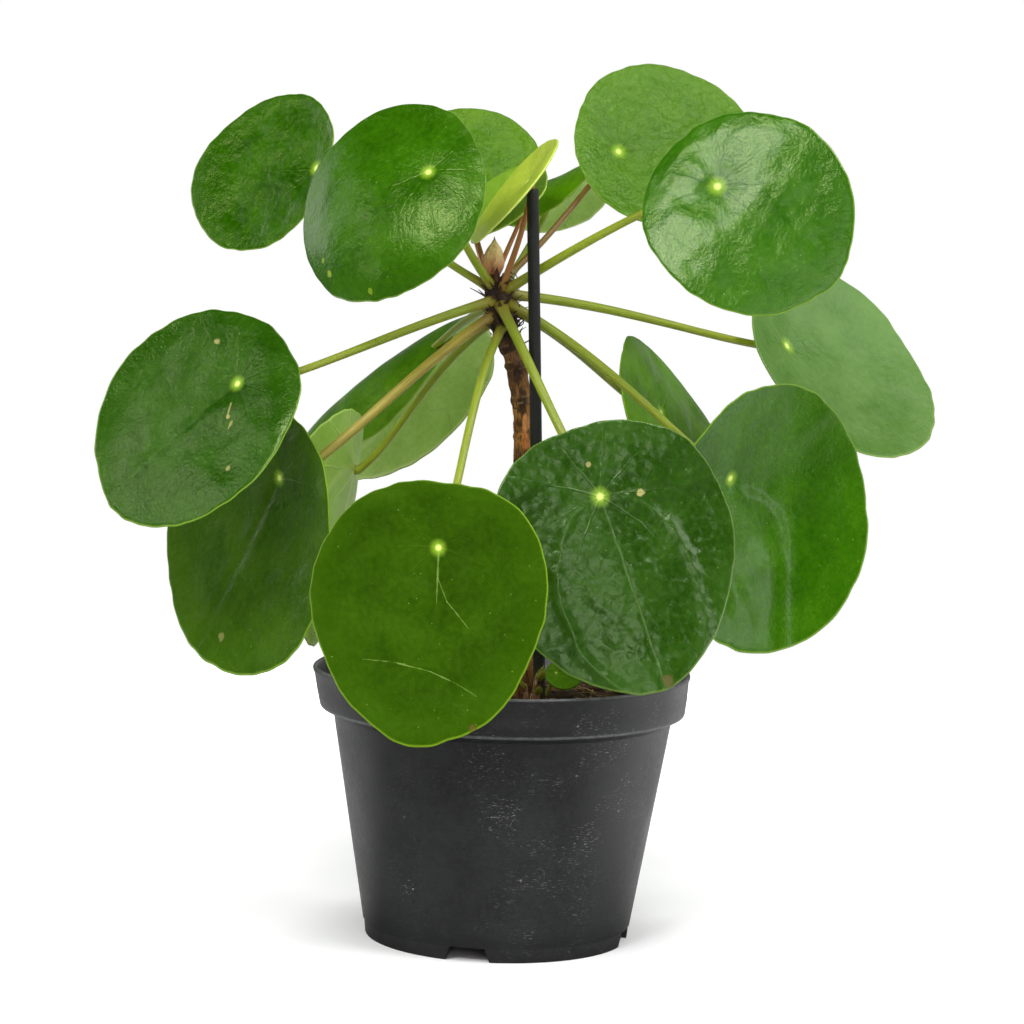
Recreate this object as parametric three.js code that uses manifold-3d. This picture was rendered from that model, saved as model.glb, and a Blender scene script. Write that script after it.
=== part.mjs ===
// Potted pilea: a black nursery pot of peat with one woody stem, a support stake, round leaves
// on long stalks, a bud at the tip and a small offset in the soil.
// Millimetres, +Z up. The origin is the middle of the pot's flat underside.
import * as THREE from "three";
import { mergeVertices } from "three/addons/utils/BufferGeometryUtils.js";
import Module from "manifold-3d";

const wasm = await Module();
wasm.setup();

// Pot
const POT_HEIGHT = 87;
const RIM_RADIUS = 60;
const BAND_FOOT_RADIUS = 58.7;
const BAND_HEIGHT = 12.6;
const BAND_STEP_HEIGHT = 2.6;
const BODY_TOP_RADIUS = 54.4;
const FOOT_RADIUS = 42.4;
const FOOT_BAND_HEIGHT = 4.6;
const FOOT_BAND_STEP = 0.4;
const WALL = 1.2;
const FLOOR_UNDERSIDE = 2.6;
const FLOOR_TOP = 4;
const PAD_RADIUS = 14;
const POT_SIDES = 48;
const RIM_BULGE = 1.5;
const RIM_BULGE_ANGLE = 188;
const RIM_BULGE_SPREAD = 16;
const RIM_BULGE_DEPTH = 9;

// Drain notches in the foot
const NOTCH_COUNT = 4;
const NOTCH_ANGLE = -102;
const NOTCH_FOOT_WIDTH = 15;
const NOTCH_TOP_WIDTH = 11;
const NOTCH_HEIGHT = 4.5;
const NOTCH_INNER_RADIUS = 35;
const NOTCH_OUTER_RADIUS = 47;

// Soil
const SOIL_LEVEL = 75.5;
const SOIL_CROWN = 1.5;
const SOIL_ROUGHNESS = 1.1;
const SOIL_SIDES = 40;
const CLEARANCE = 0.3;

// Stake
const STAKE_RADIUS = 1.9;
const STAKE_TOP = [4.3, -13.5, 241.5];
const STAKE_FOOT = [14.6, -8.5, 14];
const STAKE_SIDES = 16;

// Stem
const STEM_SIDES = 10;
const STEM_STEPS = 44;
const STEM_RADIUS = 2.9;
const STEM_FOOT_RADIUS = 3.3;
const CROWN_RADIUS = 4.4;
const CROWN_START = 190;
const STEM_ROUTE = [
  [7, 3, 48],
  [6.4, 1, 76],
  [4.8, 0, 125],
  [3.9, 0, 158],
  [3.1, 0, 171],
  [0.4, 0, 185],
  [-2.3, 0, 193],
  [-4.9, 0, 205],
  [-6.4, 0, 212.5],
];
const LEAF_SCAR_HEIGHTS = [88, 99, 111, 124, 138, 150, 162, 174, 185, 190];
const LEAF_SCAR_RISE = 0.5;
const SCALE_COUNT = 16;

// Bud
const BUD_RADIUS = 3.2;
const BUD_HEIGHT = 12.5;
const BUD_BASE = [-7.3, 0.3, 213];

// Leaves
const BLADE_THICKNESS = 0.8;
const BLADE_RINGS = 3;
const BLADE_SECTORS = 32;
const STALK_SIDES = 8;
const STALK_STEPS = 10;
const ROOT_SINK = 0.6;

// spot: where the stalk meets the blade, in millimetres.
// facing: heading of the blade's upper side, in degrees from the front towards the right.
// lift: how far that side looks up. turn: heading of the tip in the blade's plane, from downhill.
// eye: the spot's place between base and tip, as a share of the length.
// across and along: bend of the blade per metre, with its edges falling where it is positive.
// egg and skew: how much narrower the tip end is, and how far the outline leans to one side.
// root: the stalk's heading on the crown, from the right towards the back, and its height.
// stalk: its diameter at the crown and at the blade. arch: its rise, as a share of its reach.
const LEAVES = [
  {
    spot: [-66, 20, 245], facing: -46, lift: 24, turn: -82, length: 61, width: 56, eye: 0.12,
    across: 0, along: -2, egg: 0.025, skew: 0, root: [165, 210], stalk: [2.6, 2],
    arch: 0.02, tone: "green",
  },
  {
    spot: [-28, -45, 247], facing: -20, lift: 28, turn: -62, length: 70, width: 65, eye: 0.26,
    across: 12, along: 15, egg: 0.02, skew: 0, root: [238, 211], stalk: [2.8, 2.3],
    arch: 0.02, tone: "green",
  },
  {
    spot: [-19, 58, 254], facing: 0, lift: 53, turn: 20, length: 50, width: 46, eye: 0.35,
    across: 2, along: 2, egg: 0, skew: 0.01, root: [125, 213], stalk: [2.2, 1.8],
    arch: 0.02, tone: "green",
  },
  {
    spot: [2, -8, 244], facing: -79, lift: 37, turn: -30, length: 43, width: 40, eye: 0.37,
    across: -3, along: 0, egg: 0, skew: 0, root: [295, 210.5], stalk: [2.2, 1.7],
    arch: 0, tone: "brown",
  },
  {
    spot: [2, 15, 240], facing: -52, lift: 45, turn: -50, length: 34, width: 32, eye: 0.25,
    across: -3, along: 1, egg: 0, skew: 0, root: [92, 212], stalk: [1.8, 1.4],
    arch: 0, tone: "brown",
  },
  {
    spot: [11, 55, 242], facing: -120, lift: 66, turn: 12, length: 58, width: 54, eye: 0.42,
    across: 42, along: -6, egg: 0, skew: 0, root: [66, 209], stalk: [2.6, 2],
    arch: 0.02, tone: "green",
  },
  {
    spot: [32, 30, 253], facing: 21, lift: 34, turn: 91, length: 67, width: 63, eye: 0.24,
    across: -4, along: -2, egg: 0.01, skew: -0.02, root: [38, 214], stalk: [2.2, 1.8],
    arch: 0.03, tone: "brown",
  },
  {
    spot: [61, -35, 245], facing: -14, lift: 22, turn: 55, length: 68, width: 63, eye: 0.31,
    across: 0, along: 9, egg: 0, skew: -0.01, root: [328, 209], stalk: [3.2, 2.4],
    arch: 0.1, tone: "green",
  },
  {
    spot: [90.3, 43, 190.7], facing: 55, lift: 31, turn: 58, length: 80, width: 74, eye: 0.26,
    across: -7, along: -8, egg: 0, skew: -0.028, root: [12, 207], stalk: [3.3, 2.5],
    arch: 0.02, tone: "green",
  },
  {
    spot: [70.8, -9, 151.4], facing: 45, lift: -10, turn: 44, length: 91.7, width: 85.7, eye: 0.31,
    across: -2, along: -8, egg: 0.005, skew: -0.008, root: [330, 203.5], stalk: [3.3, 2.7],
    arch: 0.02, tone: "green",
  },
  {
    spot: [28, -48, 149], facing: 16, lift: 12, turn: 18, length: 85, width: 79, eye: 0.29,
    across: -1, along: 0, egg: 0.03, skew: -0.015, root: [276, 203], stalk: [3.4, 2.8],
    arch: -0.02, tone: "green",
  },
  {
    spot: [-21, -74, 135], facing: -20, lift: 6, turn: -5, length: 81, width: 76, eye: 0.28,
    across: 0, along: -2, egg: 0.028, skew: 0.024, root: [251, 196], stalk: [2.9, 2.5],
    arch: 0.055, tone: "green",
  },
  {
    spot: [-86, -30, 179], facing: -28, lift: 29, turn: -43, length: 76, width: 71, eye: 0.27,
    across: -3, along: 4, egg: 0, skew: 0, root: [222, 205], stalk: [3.2, 2.4],
    arch: -0.01, tone: "green",
  },
  {
    spot: [-73, -16, 148], facing: -50, lift: 2, turn: -30, length: 90, width: 84, eye: 0.24,
    across: -4, along: -2, egg: -0.014, skew: 0, root: [203, 200], stalk: [3.5, 3],
    arch: -0.04, tone: "tan",
  },
  {
    spot: [-51.9, 23, 147.2], facing: -104, lift: 2, turn: 19, length: 78, width: 72, eye: 0.25,
    across: -17, along: -3, egg: 0, skew: 0, root: [160, 198], stalk: [2.8, 2.3],
    arch: 0, tone: "green",
  },
  {
    spot: [-37.2, 78, 180.4], facing: -127, lift: 51, turn: 21, length: 84.5, width: 78.5, eye: 0.36,
    across: 40, along: 7, egg: 0, skew: 0, root: [118, 203], stalk: [2.8, 2.3],
    arch: 0.02, tone: "green",
  },
  {
    spot: [50, 48, 167], facing: 67, lift: 29, turn: 36, length: 74, width: 69, eye: 0.36,
    across: 6, along: -1, egg: 0.01, skew: 0, root: [45, 202], stalk: [2.8, 2.4],
    arch: 0.02, tone: "green",
  },
];

// A small leaf of the offset that grows from the soil beside the stem.
const OFFSET_LEAF = {
  spot: [17, 9, 85], facing: 5, lift: 45, turn: 60, length: 12, width: 11, eye: 0.3,
  across: 10, along: 10, egg: 0, skew: 0, arch: 0.1,
};
const OFFSET_ROOT = [11, 10, 66];
const OFFSET_STALK = [1.8, 1.2];

const GREEN = 0x2f6a10;
const STALK_COLOURS = { green: 0x8a9a34, brown: 0x8a5a30, tan: 0xb9a552 };

function finish(colour, roughness) {
  return new THREE.MeshStandardMaterial({ color: colour, roughness, metalness: 0 });
}

const MATERIALS = {
  pot: finish(0x2c2d2e, 0.45),
  soil: finish(0x3a2a1e, 0.95),
  stake: finish(0x1b1b1d, 0.6),
  stem: finish(0x5a3a24, 0.85),
  bud: finish(0xd8cf9c, 0.6),
  blade: finish(GREEN, 0.35),
  youngBlade: finish(0xa8bf3c, 0.45),
};

const potted = new THREE.Group();

function addPiece(name, geometry, material) {
  const mesh = new THREE.Mesh(geometry, material);
  mesh.name = name;
  potted.add(mesh);
}

function radians(degrees) {
  return (degrees * Math.PI) / 180;
}

function bare(geometry) {
  geometry.deleteAttribute("normal");
  geometry.deleteAttribute("uv");
  return mergeVertices(geometry, 1e-4);
}

function solidOf(geometry) {
  const merged = bare(geometry.clone());
  return new wasm.Manifold(
    new wasm.Mesh({
      numProp: 3,
      vertProperties: merged.attributes.position.array,
      triVerts: new Uint32Array(merged.index.array),
    }),
  );
}

function geometryOf(solid) {
  const mesh = solid.getMesh();
  const geometry = new THREE.BufferGeometry();
  geometry.setAttribute("position", new THREE.BufferAttribute(mesh.vertProperties, 3));
  geometry.setIndex(new THREE.BufferAttribute(mesh.triVerts, 1));
  return geometry;
}

function largestBody(solid) {
  return solid.decompose().reduce((kept, body) => (body.volume() > kept.volume() ? body : kept));
}

// Turns a profile of [radius, height] points into a body round +Z.
function turned(profile, sides) {
  const points = profile.map(([radius, height]) => new THREE.Vector2(radius, height));
  return bare(new THREE.LatheGeometry(points, sides).rotateX(Math.PI / 2));
}

// A round tube along a curve, with its radius given for each share of the length.
function tube(curve, steps, sides, radiusAt) {
  const section = new THREE.Shape().absarc(0, 0, 1, 0, 2 * Math.PI, false);
  const options = { steps, curveSegments: sides / 2, bevelEnabled: false, extrudePath: curve };
  const geometry = bare(new THREE.ExtrudeGeometry(section, options));
  const centres = curve.getSpacedPoints(steps);
  const position = geometry.attributes.position;
  const corner = new THREE.Vector3();
  for (let i = 0; i < position.count; i++) {
    corner.fromBufferAttribute(position, i);
    const gaps = centres.map((centre) => centre.distanceTo(corner));
    const step = gaps.indexOf(Math.min(...gaps));
    corner.sub(centres[step]).multiplyScalar(radiusAt(step / steps)).add(centres[step]);
    position.setXYZ(i, corner.x, corner.y, corner.z);
  }
  return geometry;
}

// How far the pot's thin rim is pushed out at one place.
function rimBulge(angle, height) {
  const turns = (angle - radians(RIM_BULGE_ANGLE)) / (2 * Math.PI);
  const away = (turns - Math.round(turns)) * 360;
  const below = (POT_HEIGHT - height) / RIM_BULGE_DEPTH;
  return RIM_BULGE * Math.exp(-((away / RIM_BULGE_SPREAD) ** 2) - below ** 2);
}

function makePot() {
  const bandFoot = POT_HEIGHT - BAND_HEIGHT;
  const stepFoot = bandFoot - BAND_STEP_HEIGHT;
  const geometry = turned(
    [
      [0, 0],
      [PAD_RADIUS, 0],
      [PAD_RADIUS + 1.5, FLOOR_UNDERSIDE],
      [FOOT_RADIUS - 2, FLOOR_UNDERSIDE],
      [FOOT_RADIUS - 1.4, 0],
      [FOOT_RADIUS, 0],
      [FOOT_RADIUS + FOOT_BAND_STEP, FOOT_BAND_HEIGHT],
      [FOOT_RADIUS + 2 * FOOT_BAND_STEP, FOOT_BAND_HEIGHT + FOOT_BAND_STEP],
      [BODY_TOP_RADIUS, stepFoot],
      [BODY_TOP_RADIUS + 0.6, stepFoot + 0.4],
      [BAND_FOOT_RADIUS - 0.3, bandFoot - 0.3],
      [BAND_FOOT_RADIUS, bandFoot + 0.3],
      [RIM_RADIUS - 0.3, POT_HEIGHT - 1.4],
      [RIM_RADIUS, POT_HEIGHT - 0.8],
      [RIM_RADIUS - 0.2, POT_HEIGHT],
      [RIM_RADIUS - WALL, POT_HEIGHT],
      [BAND_FOOT_RADIUS - WALL, bandFoot + 1],
      [BODY_TOP_RADIUS - WALL, stepFoot + 0.8],
      [FOOT_RADIUS - WALL / 2, FLOOR_TOP],
      [0, FLOOR_TOP],
    ],
    POT_SIDES,
  );
  const position = geometry.attributes.position;
  for (let i = 0; i < position.count; i++) {
    const radius = Math.hypot(position.getX(i), position.getY(i));
    const angle = Math.atan2(position.getY(i), position.getX(i));
    const grown = radius < BODY_TOP_RADIUS ? 1 : 1 + rimBulge(angle, position.getZ(i)) / radius;
    position.setXY(i, position.getX(i) * grown, position.getY(i) * grown);
  }
  let pot = solidOf(geometry);
  for (let i = 0; i < NOTCH_COUNT; i++) {
    pot = pot.subtract(notchCutter(NOTCH_ANGLE + (360 / NOTCH_COUNT) * i));
  }
  addPiece("pot", geometryOf(pot), MATERIALS.pot);
}

function notchCutter(angle) {
  const outline = new THREE.Shape();
  outline.moveTo(-NOTCH_FOOT_WIDTH / 2, -1);
  outline.lineTo(NOTCH_FOOT_WIDTH / 2, -1);
  outline.lineTo(NOTCH_TOP_WIDTH / 2, NOTCH_HEIGHT);
  outline.lineTo(-NOTCH_TOP_WIDTH / 2, NOTCH_HEIGHT);
  const depth = NOTCH_OUTER_RADIUS - NOTCH_INNER_RADIUS;
  const cutter = new THREE.ExtrudeGeometry(outline, { depth, bevelEnabled: false });
  cutter.rotateX(Math.PI / 2);
  cutter.translate(0, NOTCH_OUTER_RADIUS, 0);
  cutter.rotateZ(radians(angle - 90));
  return solidOf(cutter);
}

// The soil's inside radius of the pot at a height above the floor.
function innerRadius(height) {
  const stepFoot = POT_HEIGHT - BAND_HEIGHT - BAND_STEP_HEIGHT + 0.8;
  const share = (height - FLOOR_TOP) / (stepFoot - FLOOR_TOP);
  const foot = FOOT_RADIUS - WALL / 2;
  return foot + (BODY_TOP_RADIUS - WALL - foot) * Math.min(share, 1);
}

// Low lumps in the peat, as a height added at one place.
function lump(x, y) {
  const coarse = Math.sin(x / 5.1 + 1.3) * Math.cos(y / 4.3 - 0.4);
  const fine = Math.sin(x / 1.9 - y / 2.7) * Math.cos(y / 2.1 + x / 3.3);
  return SOIL_ROUGHNESS * (0.6 * coarse + 0.4 * fine);
}

function makeSoil(clearings) {
  const bottom = FLOOR_TOP + CLEARANCE;
  const edge = innerRadius(SOIL_LEVEL) - CLEARANCE;
  const rings = [0.9, 0.78, 0.66, 0.54, 0.42, 0.3, 0.18];
  const geometry = turned(
    [
      [0, bottom],
      [innerRadius(bottom) - CLEARANCE, bottom],
      [edge, SOIL_LEVEL - 4],
      [edge, SOIL_LEVEL - 1],
      ...rings.map((share) => [edge * share, SOIL_LEVEL + SOIL_CROWN * (1 - share)]),
      [0, SOIL_LEVEL + SOIL_CROWN],
    ],
    SOIL_SIDES,
  );
  const position = geometry.attributes.position;
  for (let i = 0; i < position.count; i++) {
    const height = position.getZ(i);
    const raised = height < SOIL_LEVEL ? 0 : lump(position.getX(i), position.getY(i));
    position.setZ(i, height + raised);
  }
  const soil = clearings.reduce((body, hole) => body.subtract(hole), solidOf(geometry));
  addPiece("soil", geometryOf(largestBody(soil)), MATERIALS.soil);
}

function stakeGeometry(extra) {
  const foot = new THREE.Vector3(...STAKE_FOOT);
  const top = new THREE.Vector3(...STAKE_TOP);
  const lengthways = top.clone().sub(foot);
  const radius = STAKE_RADIUS + extra;
  const rod = new THREE.CylinderGeometry(radius, radius, lengthways.length() + 2 * extra, STAKE_SIDES);
  const upright = new THREE.Vector3(0, 1, 0);
  rod.applyQuaternion(new THREE.Quaternion().setFromUnitVectors(upright, lengthways.normalize()));
  return rod.translate(...foot.add(top).multiplyScalar(0.5).toArray());
}

function stemCurve() {
  return new THREE.CatmullRomCurve3(STEM_ROUTE.map((point) => new THREE.Vector3(...point)));
}

// The stem's radius at a height: thicker at the soil, at each leaf scar and in the crown.
function stemRadius(height) {
  const soilSwell = (STEM_FOOT_RADIUS - STEM_RADIUS) * Math.max(0, 1 - (height - SOIL_LEVEL) / 40);
  const scars = LEAF_SCAR_HEIGHTS.map((scar) => Math.exp(-(((height - scar) / 1.6) ** 2)));
  const crown = Math.min(1, Math.max(0, (height - CROWN_START) / 8));
  const ridges = LEAF_SCAR_RISE * Math.max(...scars);
  return STEM_RADIUS + Math.min(soilSwell, 0.4) + ridges + (CROWN_RADIUS - STEM_RADIUS) * crown;
}

function stemGeometry(extra) {
  const curve = stemCurve();
  return tube(curve, STEM_STEPS, STEM_SIDES, (share) => stemRadius(curve.getPointAt(share).z) + extra);
}

// One dry scale of the crown: a flat three-sided spike that leans out and up.
function crownScale(index) {
  const height = 192 + (20 * index) / SCALE_COUNT;
  const share = (height - 76) / (212.5 - 76);
  const centre = stemCurve().getPointAt(0.17 + 0.83 * share);
  const heading = radians(index * 137.5 + 20);
  const length = 4.5 + 1.5 * Math.sin(index * 2.4);
  const spike = new THREE.ConeGeometry(1.5, length + 3, 4);
  spike.scale(1, 1, 0.5).translate(0, (length + 3) / 2 - 2, 0).rotateX(-radians(45));
  spike.rotateX(Math.PI / 2).rotateZ(heading - Math.PI / 2);
  const out = CROWN_RADIUS - 1;
  spike.translate(centre.x + out * Math.cos(heading), centre.y + out * Math.sin(heading), height);
  return solidOf(spike);
}

function makeStem(clearings) {
  let stem = solidOf(stemGeometry(0));
  for (let i = 0; i < SCALE_COUNT; i++) {
    stem = stem.add(crownScale(i));
  }
  stem = clearings.reduce((body, hole) => body.subtract(hole), stem);
  addPiece("stem", geometryOf(largestBody(stem)), MATERIALS.stem);
}

function makeBud() {
  const profile = [
    [0, 0],
    [BUD_RADIUS * 0.55, 0],
    [BUD_RADIUS * 0.9, BUD_HEIGHT * 0.18],
    [BUD_RADIUS, BUD_HEIGHT * 0.38],
    [BUD_RADIUS * 0.72, BUD_HEIGHT * 0.62],
    [BUD_RADIUS * 0.3, BUD_HEIGHT * 0.86],
    [0, BUD_HEIGHT],
  ];
  const bud = turned(profile, 10).scale(1, 0.7, 1).translate(...BUD_BASE);
  addPiece("bud", bud, MATERIALS.bud);
}

// The blade's own directions: along towards its tip, across it, and out of its upper side.
function bladeFrame({ facing, lift, turn }) {
  const level = Math.cos(radians(lift));
  const normal = new THREE.Vector3(
    Math.sin(radians(facing)) * level,
    -Math.cos(radians(facing)) * level,
    Math.sin(radians(lift)),
  );
  const downhill = new THREE.Vector3(0, 0, -1).addScaledVector(normal, normal.z).normalize();
  const sideways = normal.clone().cross(downhill);
  const along = downhill.multiplyScalar(Math.cos(radians(turn)));
  along.addScaledVector(sideways, Math.sin(radians(turn)));
  return { along, across: normal.clone().cross(along), normal };
}

// The blade's edge at one angle round the spot, flat, as distances along and across.
function bladeEdge(leaf, angle, phase) {
  const fromTip = angle > Math.PI ? angle - 2 * Math.PI : angle;
  const tip = 0.025 * Math.exp(-((fromTip / 0.25) ** 2));
  const notch = 0.02 * Math.exp(-(((angle - Math.PI) / 0.28) ** 2));
  const lobes = leaf.egg * Math.cos(3 * angle) + leaf.skew * Math.sin(3 * angle);
  const wave = 0.005 * Math.sin(5 * angle + phase) + 0.006 * Math.sin(8 * angle + 2 * phase);
  const reach = 1 + tip - notch + lobes + wave;
  return {
    along: leaf.length * (0.5 - leaf.eye + 0.5 * reach * Math.cos(angle)),
    across: leaf.width * 0.5 * reach * Math.sin(angle),
  };
}

// The place in space of one point of the flat blade.
function bladePoint(leaf, frame, along, across, phase) {
  const bendAcross = leaf.across / 1000 + 1e-9;
  const bendAlong = leaf.along / 1000 + 1e-9;
  const reach = Math.hypot(along, across) / leaf.length;
  const ripple = 0.006 * leaf.length * reach * reach * Math.sin(4 * Math.atan2(across, along) + phase);
  const fall =
    (1 - Math.cos(across * bendAcross)) / bendAcross + (1 - Math.cos(along * bendAlong)) / bendAlong;
  return new THREE.Vector3(...leaf.spot)
    .addScaledVector(frame.along, Math.sin(along * bendAlong) / bendAlong)
    .addScaledVector(frame.across, Math.sin(across * bendAcross) / bendAcross)
    .addScaledVector(frame.normal, ripple - fall);
}

function bladeNormal(leaf, frame, along, across, phase) {
  const step = 0.05;
  const ahead = bladePoint(leaf, frame, along + step, across, phase);
  const behind = bladePoint(leaf, frame, along - step, across, phase);
  const left = bladePoint(leaf, frame, along, across + step, phase);
  const right = bladePoint(leaf, frame, along, across - step, phase);
  return ahead.sub(behind).cross(left.sub(right)).normalize();
}

// A closed thin disc: rings of points round the spot, the same on both faces.
function bladeGeometry(leaf, phase, thickness) {
  const frame = bladeFrame(leaf);
  const upper = [];
  const lower = [];
  const addPoint = (along, across) => {
    const point = bladePoint(leaf, frame, along, across, phase);
    const half = bladeNormal(leaf, frame, along, across, phase).multiplyScalar(thickness / 2);
    upper.push(point.clone().add(half));
    lower.push(point.clone().sub(half));
  };
  addPoint(0, 0);
  for (let ring = 1; ring <= BLADE_RINGS; ring++) {
    for (let sector = 0; sector < BLADE_SECTORS; sector++) {
      const edge = bladeEdge(leaf, (2 * Math.PI * sector) / BLADE_SECTORS, phase);
      const share = ring / BLADE_RINGS;
      addPoint(edge.along * share, edge.across * share);
    }
  }
  const index = [];
  const below = upper.length;
  const faceBoth = (a, b, c) => index.push(a, b, c, a + below, c + below, b + below);
  const place = (ring, sector) => 1 + (ring - 1) * BLADE_SECTORS + (sector % BLADE_SECTORS);
  for (let sector = 0; sector < BLADE_SECTORS; sector++) {
    faceBoth(0, place(1, sector), place(1, sector + 1));
    for (let ring = 1; ring < BLADE_RINGS; ring++) {
      const near = place(ring, sector);
      const nearNext = place(ring, sector + 1);
      const far = place(ring + 1, sector);
      const farNext = place(ring + 1, sector + 1);
      faceBoth(near, far, farNext);
      faceBoth(near, farNext, nearNext);
    }
    const rim = place(BLADE_RINGS, sector);
    const rimNext = place(BLADE_RINGS, sector + 1);
    index.push(rim, rim + below, rimNext + below, rim, rimNext + below, rimNext);
  }
  const geometry = new THREE.BufferGeometry().setFromPoints([...upper, ...lower]);
  geometry.setIndex(index);
  return geometry;
}

// The stalk's line, from inside the crown to the middle of the blade at the spot.
function stalkCurve(leaf, root, heading, sunk) {
  const { normal } = bladeFrame(leaf);
  const end = new THREE.Vector3(...leaf.spot);
  const reach = end.distanceTo(root);
  const rise = leaf.arch * reach;
  const straight = end.clone().sub(root).normalize();
  const start = straight.clone().multiplyScalar(0.75).addScaledVector(heading, 0.25).normalize();
  const from = root.clone().addScaledVector(start, -sunk);
  const leave = root.clone().addScaledVector(start, reach * 0.4);
  leave.z += rise;
  const arrive = end.clone().addScaledVector(straight, -reach * 0.2);
  arrive.addScaledVector(normal, -reach * 0.08);
  arrive.z += rise;
  return new THREE.CubicBezierCurve3(from, leave, arrive, end);
}

// A stalk that stops short of the blade's underside.
function trimmed(stalk, leaf, phase) {
  const clearBlade = bladeGeometry(leaf, phase, BLADE_THICKNESS + 2 * CLEARANCE);
  return geometryOf(largestBody(solidOf(stalk).subtract(solidOf(clearBlade))));
}

function leafStalk(leaf, sunk, extra) {
  const [angle, height] = leaf.root;
  const heading = new THREE.Vector3(Math.cos(radians(angle)), Math.sin(radians(angle)), 0);
  const curve = stemCurve();
  const shares = Array.from({ length: 201 }, (_, i) => curve.getPointAt(i / 200));
  const inside = shares.filter((point) => point.z <= height).at(-1);
  const root = new THREE.Vector3(inside.x, inside.y, height);
  root.addScaledVector(heading, CROWN_RADIUS);
  const line = stalkCurve(leaf, root, heading, sunk);
  const [thick, thin] = leaf.stalk;
  const radiusAt = (share) => (thick + (thin - thick) * Math.min(1, share * 1.6)) / 2 + extra;
  return tube(line, STALK_STEPS, STALK_SIDES, radiusAt);
}

function makeLeaves() {
  LEAVES.forEach((leaf, i) => {
    const number = String(i + 1).padStart(2, "0");
    const phase = 2.4 * (i + 1);
    const blade = bladeGeometry(leaf, phase, BLADE_THICKNESS);
    const young = i === 3 || i === 4;
    addPiece(`leaf_${number}_blade`, blade, young ? MATERIALS.youngBlade : MATERIALS.blade);
    const stalk = trimmed(leafStalk(leaf, ROOT_SINK, 0), leaf, phase);
    addPiece(`leaf_${number}_stalk`, stalk, finish(STALK_COLOURS[leaf.tone], 0.5));
  });
}

function offsetStalk(extra) {
  const root = new THREE.Vector3(...OFFSET_ROOT);
  const line = stalkCurve(OFFSET_LEAF, root, new THREE.Vector3(0, 0, 1), extra);
  const [thick, thin] = OFFSET_STALK;
  return tube(line, STALK_STEPS, STALK_SIDES, (share) => (thick + (thin - thick) * share) / 2 + extra);
}

function makeOffset() {
  addPiece("offset_blade", bladeGeometry(OFFSET_LEAF, 1, BLADE_THICKNESS), MATERIALS.blade);
  addPiece("offset_stalk", trimmed(offsetStalk(0), OFFSET_LEAF, 1), finish(STALK_COLOURS.green, 0.5));
}

makePot();
makeSoil([
  solidOf(stemGeometry(CLEARANCE)),
  solidOf(stakeGeometry(CLEARANCE)),
  solidOf(offsetStalk(CLEARANCE)),
]);
addPiece("stake", stakeGeometry(0), MATERIALS.stake);
makeStem(LEAVES.map((leaf) => solidOf(leafStalk(leaf, ROOT_SINK + CLEARANCE, CLEARANCE))));
makeBud();
makeLeaves();
makeOffset();

export default potted;
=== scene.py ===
import math
import random
import bmesh
import bpy
from mathutils import Matrix, Vector, noise


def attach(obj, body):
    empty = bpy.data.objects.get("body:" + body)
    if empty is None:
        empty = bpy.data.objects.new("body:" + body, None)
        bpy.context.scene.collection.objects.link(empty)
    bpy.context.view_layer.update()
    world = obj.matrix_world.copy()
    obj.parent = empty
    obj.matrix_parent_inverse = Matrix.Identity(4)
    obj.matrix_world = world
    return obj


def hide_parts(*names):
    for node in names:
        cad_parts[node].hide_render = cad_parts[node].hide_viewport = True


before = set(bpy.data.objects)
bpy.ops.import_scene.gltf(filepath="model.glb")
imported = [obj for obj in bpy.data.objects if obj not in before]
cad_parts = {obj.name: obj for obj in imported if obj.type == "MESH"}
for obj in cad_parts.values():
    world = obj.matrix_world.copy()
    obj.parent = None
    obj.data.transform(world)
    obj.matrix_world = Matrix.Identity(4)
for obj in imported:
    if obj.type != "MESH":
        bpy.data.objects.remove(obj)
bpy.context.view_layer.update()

# Shapes are worked out in millimetres and put into metres when a piece is placed.
MM = 0.001

# Pot
POT_HEIGHT = 87
RIM_RADIUS = 60
BAND_FOOT_RADIUS = 58.7
BAND_HEIGHT = 12.6
BAND_STEP_HEIGHT = 2.6
BODY_TOP_RADIUS = 54.4
FOOT_RADIUS = 42.4
FOOT_BAND_HEIGHT = 4.6
FOOT_BAND_STEP = 0.4
WALL = 1.2
FLOOR_UNDERSIDE = 2.6
FLOOR_TOP = 4
PAD_RADIUS = 14
POT_SIDES = 192
BODY_STEPS = 12
RIM_BULGE = 1.5
RIM_BULGE_ANGLE = 188
RIM_BULGE_SPREAD = 16
RIM_BULGE_DEPTH = 9
NOTCH_COUNT = 4
NOTCH_ANGLE = -102
NOTCH_FOOT_WIDTH = 15
NOTCH_TOP_WIDTH = 11
NOTCH_HEIGHT = 4.5
NOTCH_INNER_RADIUS = 35
NOTCH_OUTER_RADIUS = 47

# Peat
SOIL_LEVEL = 75.5
SOIL_CROWN = 1.5
SOIL_ROUGHNESS = 1.1
SOIL_RINGS = 44
SOIL_SIDES = 160
CLEARANCE = 0.3
CRUMB_COUNT = 420
ROOT_FIBRE_COUNT = 90
PEAT_SEED = 11
# Each new shoot: place, lean in x and y, length, radius
SHOOTS = (
    (9.4, -13.8, 1.4, 0.2, 12.5, 0.85), (8.0, -14.4, -1.0, 0.4, 9.5, 0.75), (10.6, -14.2, 1.2, -0.4, 8.0, 0.9),
    (9.0, -15.4, 0.4, -0.8, 6.5, 1.0), (7.2, -15.0, -0.6, -0.4, 7.0, 0.7),
)
# Each folded leaflet: place, height above the peat, turn, length, width, lean outwards
LEAFLETS = (
    (11.2, -14.0, 8.6, 30, 4.6, 4.4, 0.5), (10.2, -13.8, 9.8, 80, 4.4, 4.2, 0.35),
    (7.6, -14.4, 6.4, -60, 4.0, 3.4, 0.4), (10.8, -15.2, 4.6, 10, 4.0, 2.6, 0.7),
)

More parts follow.
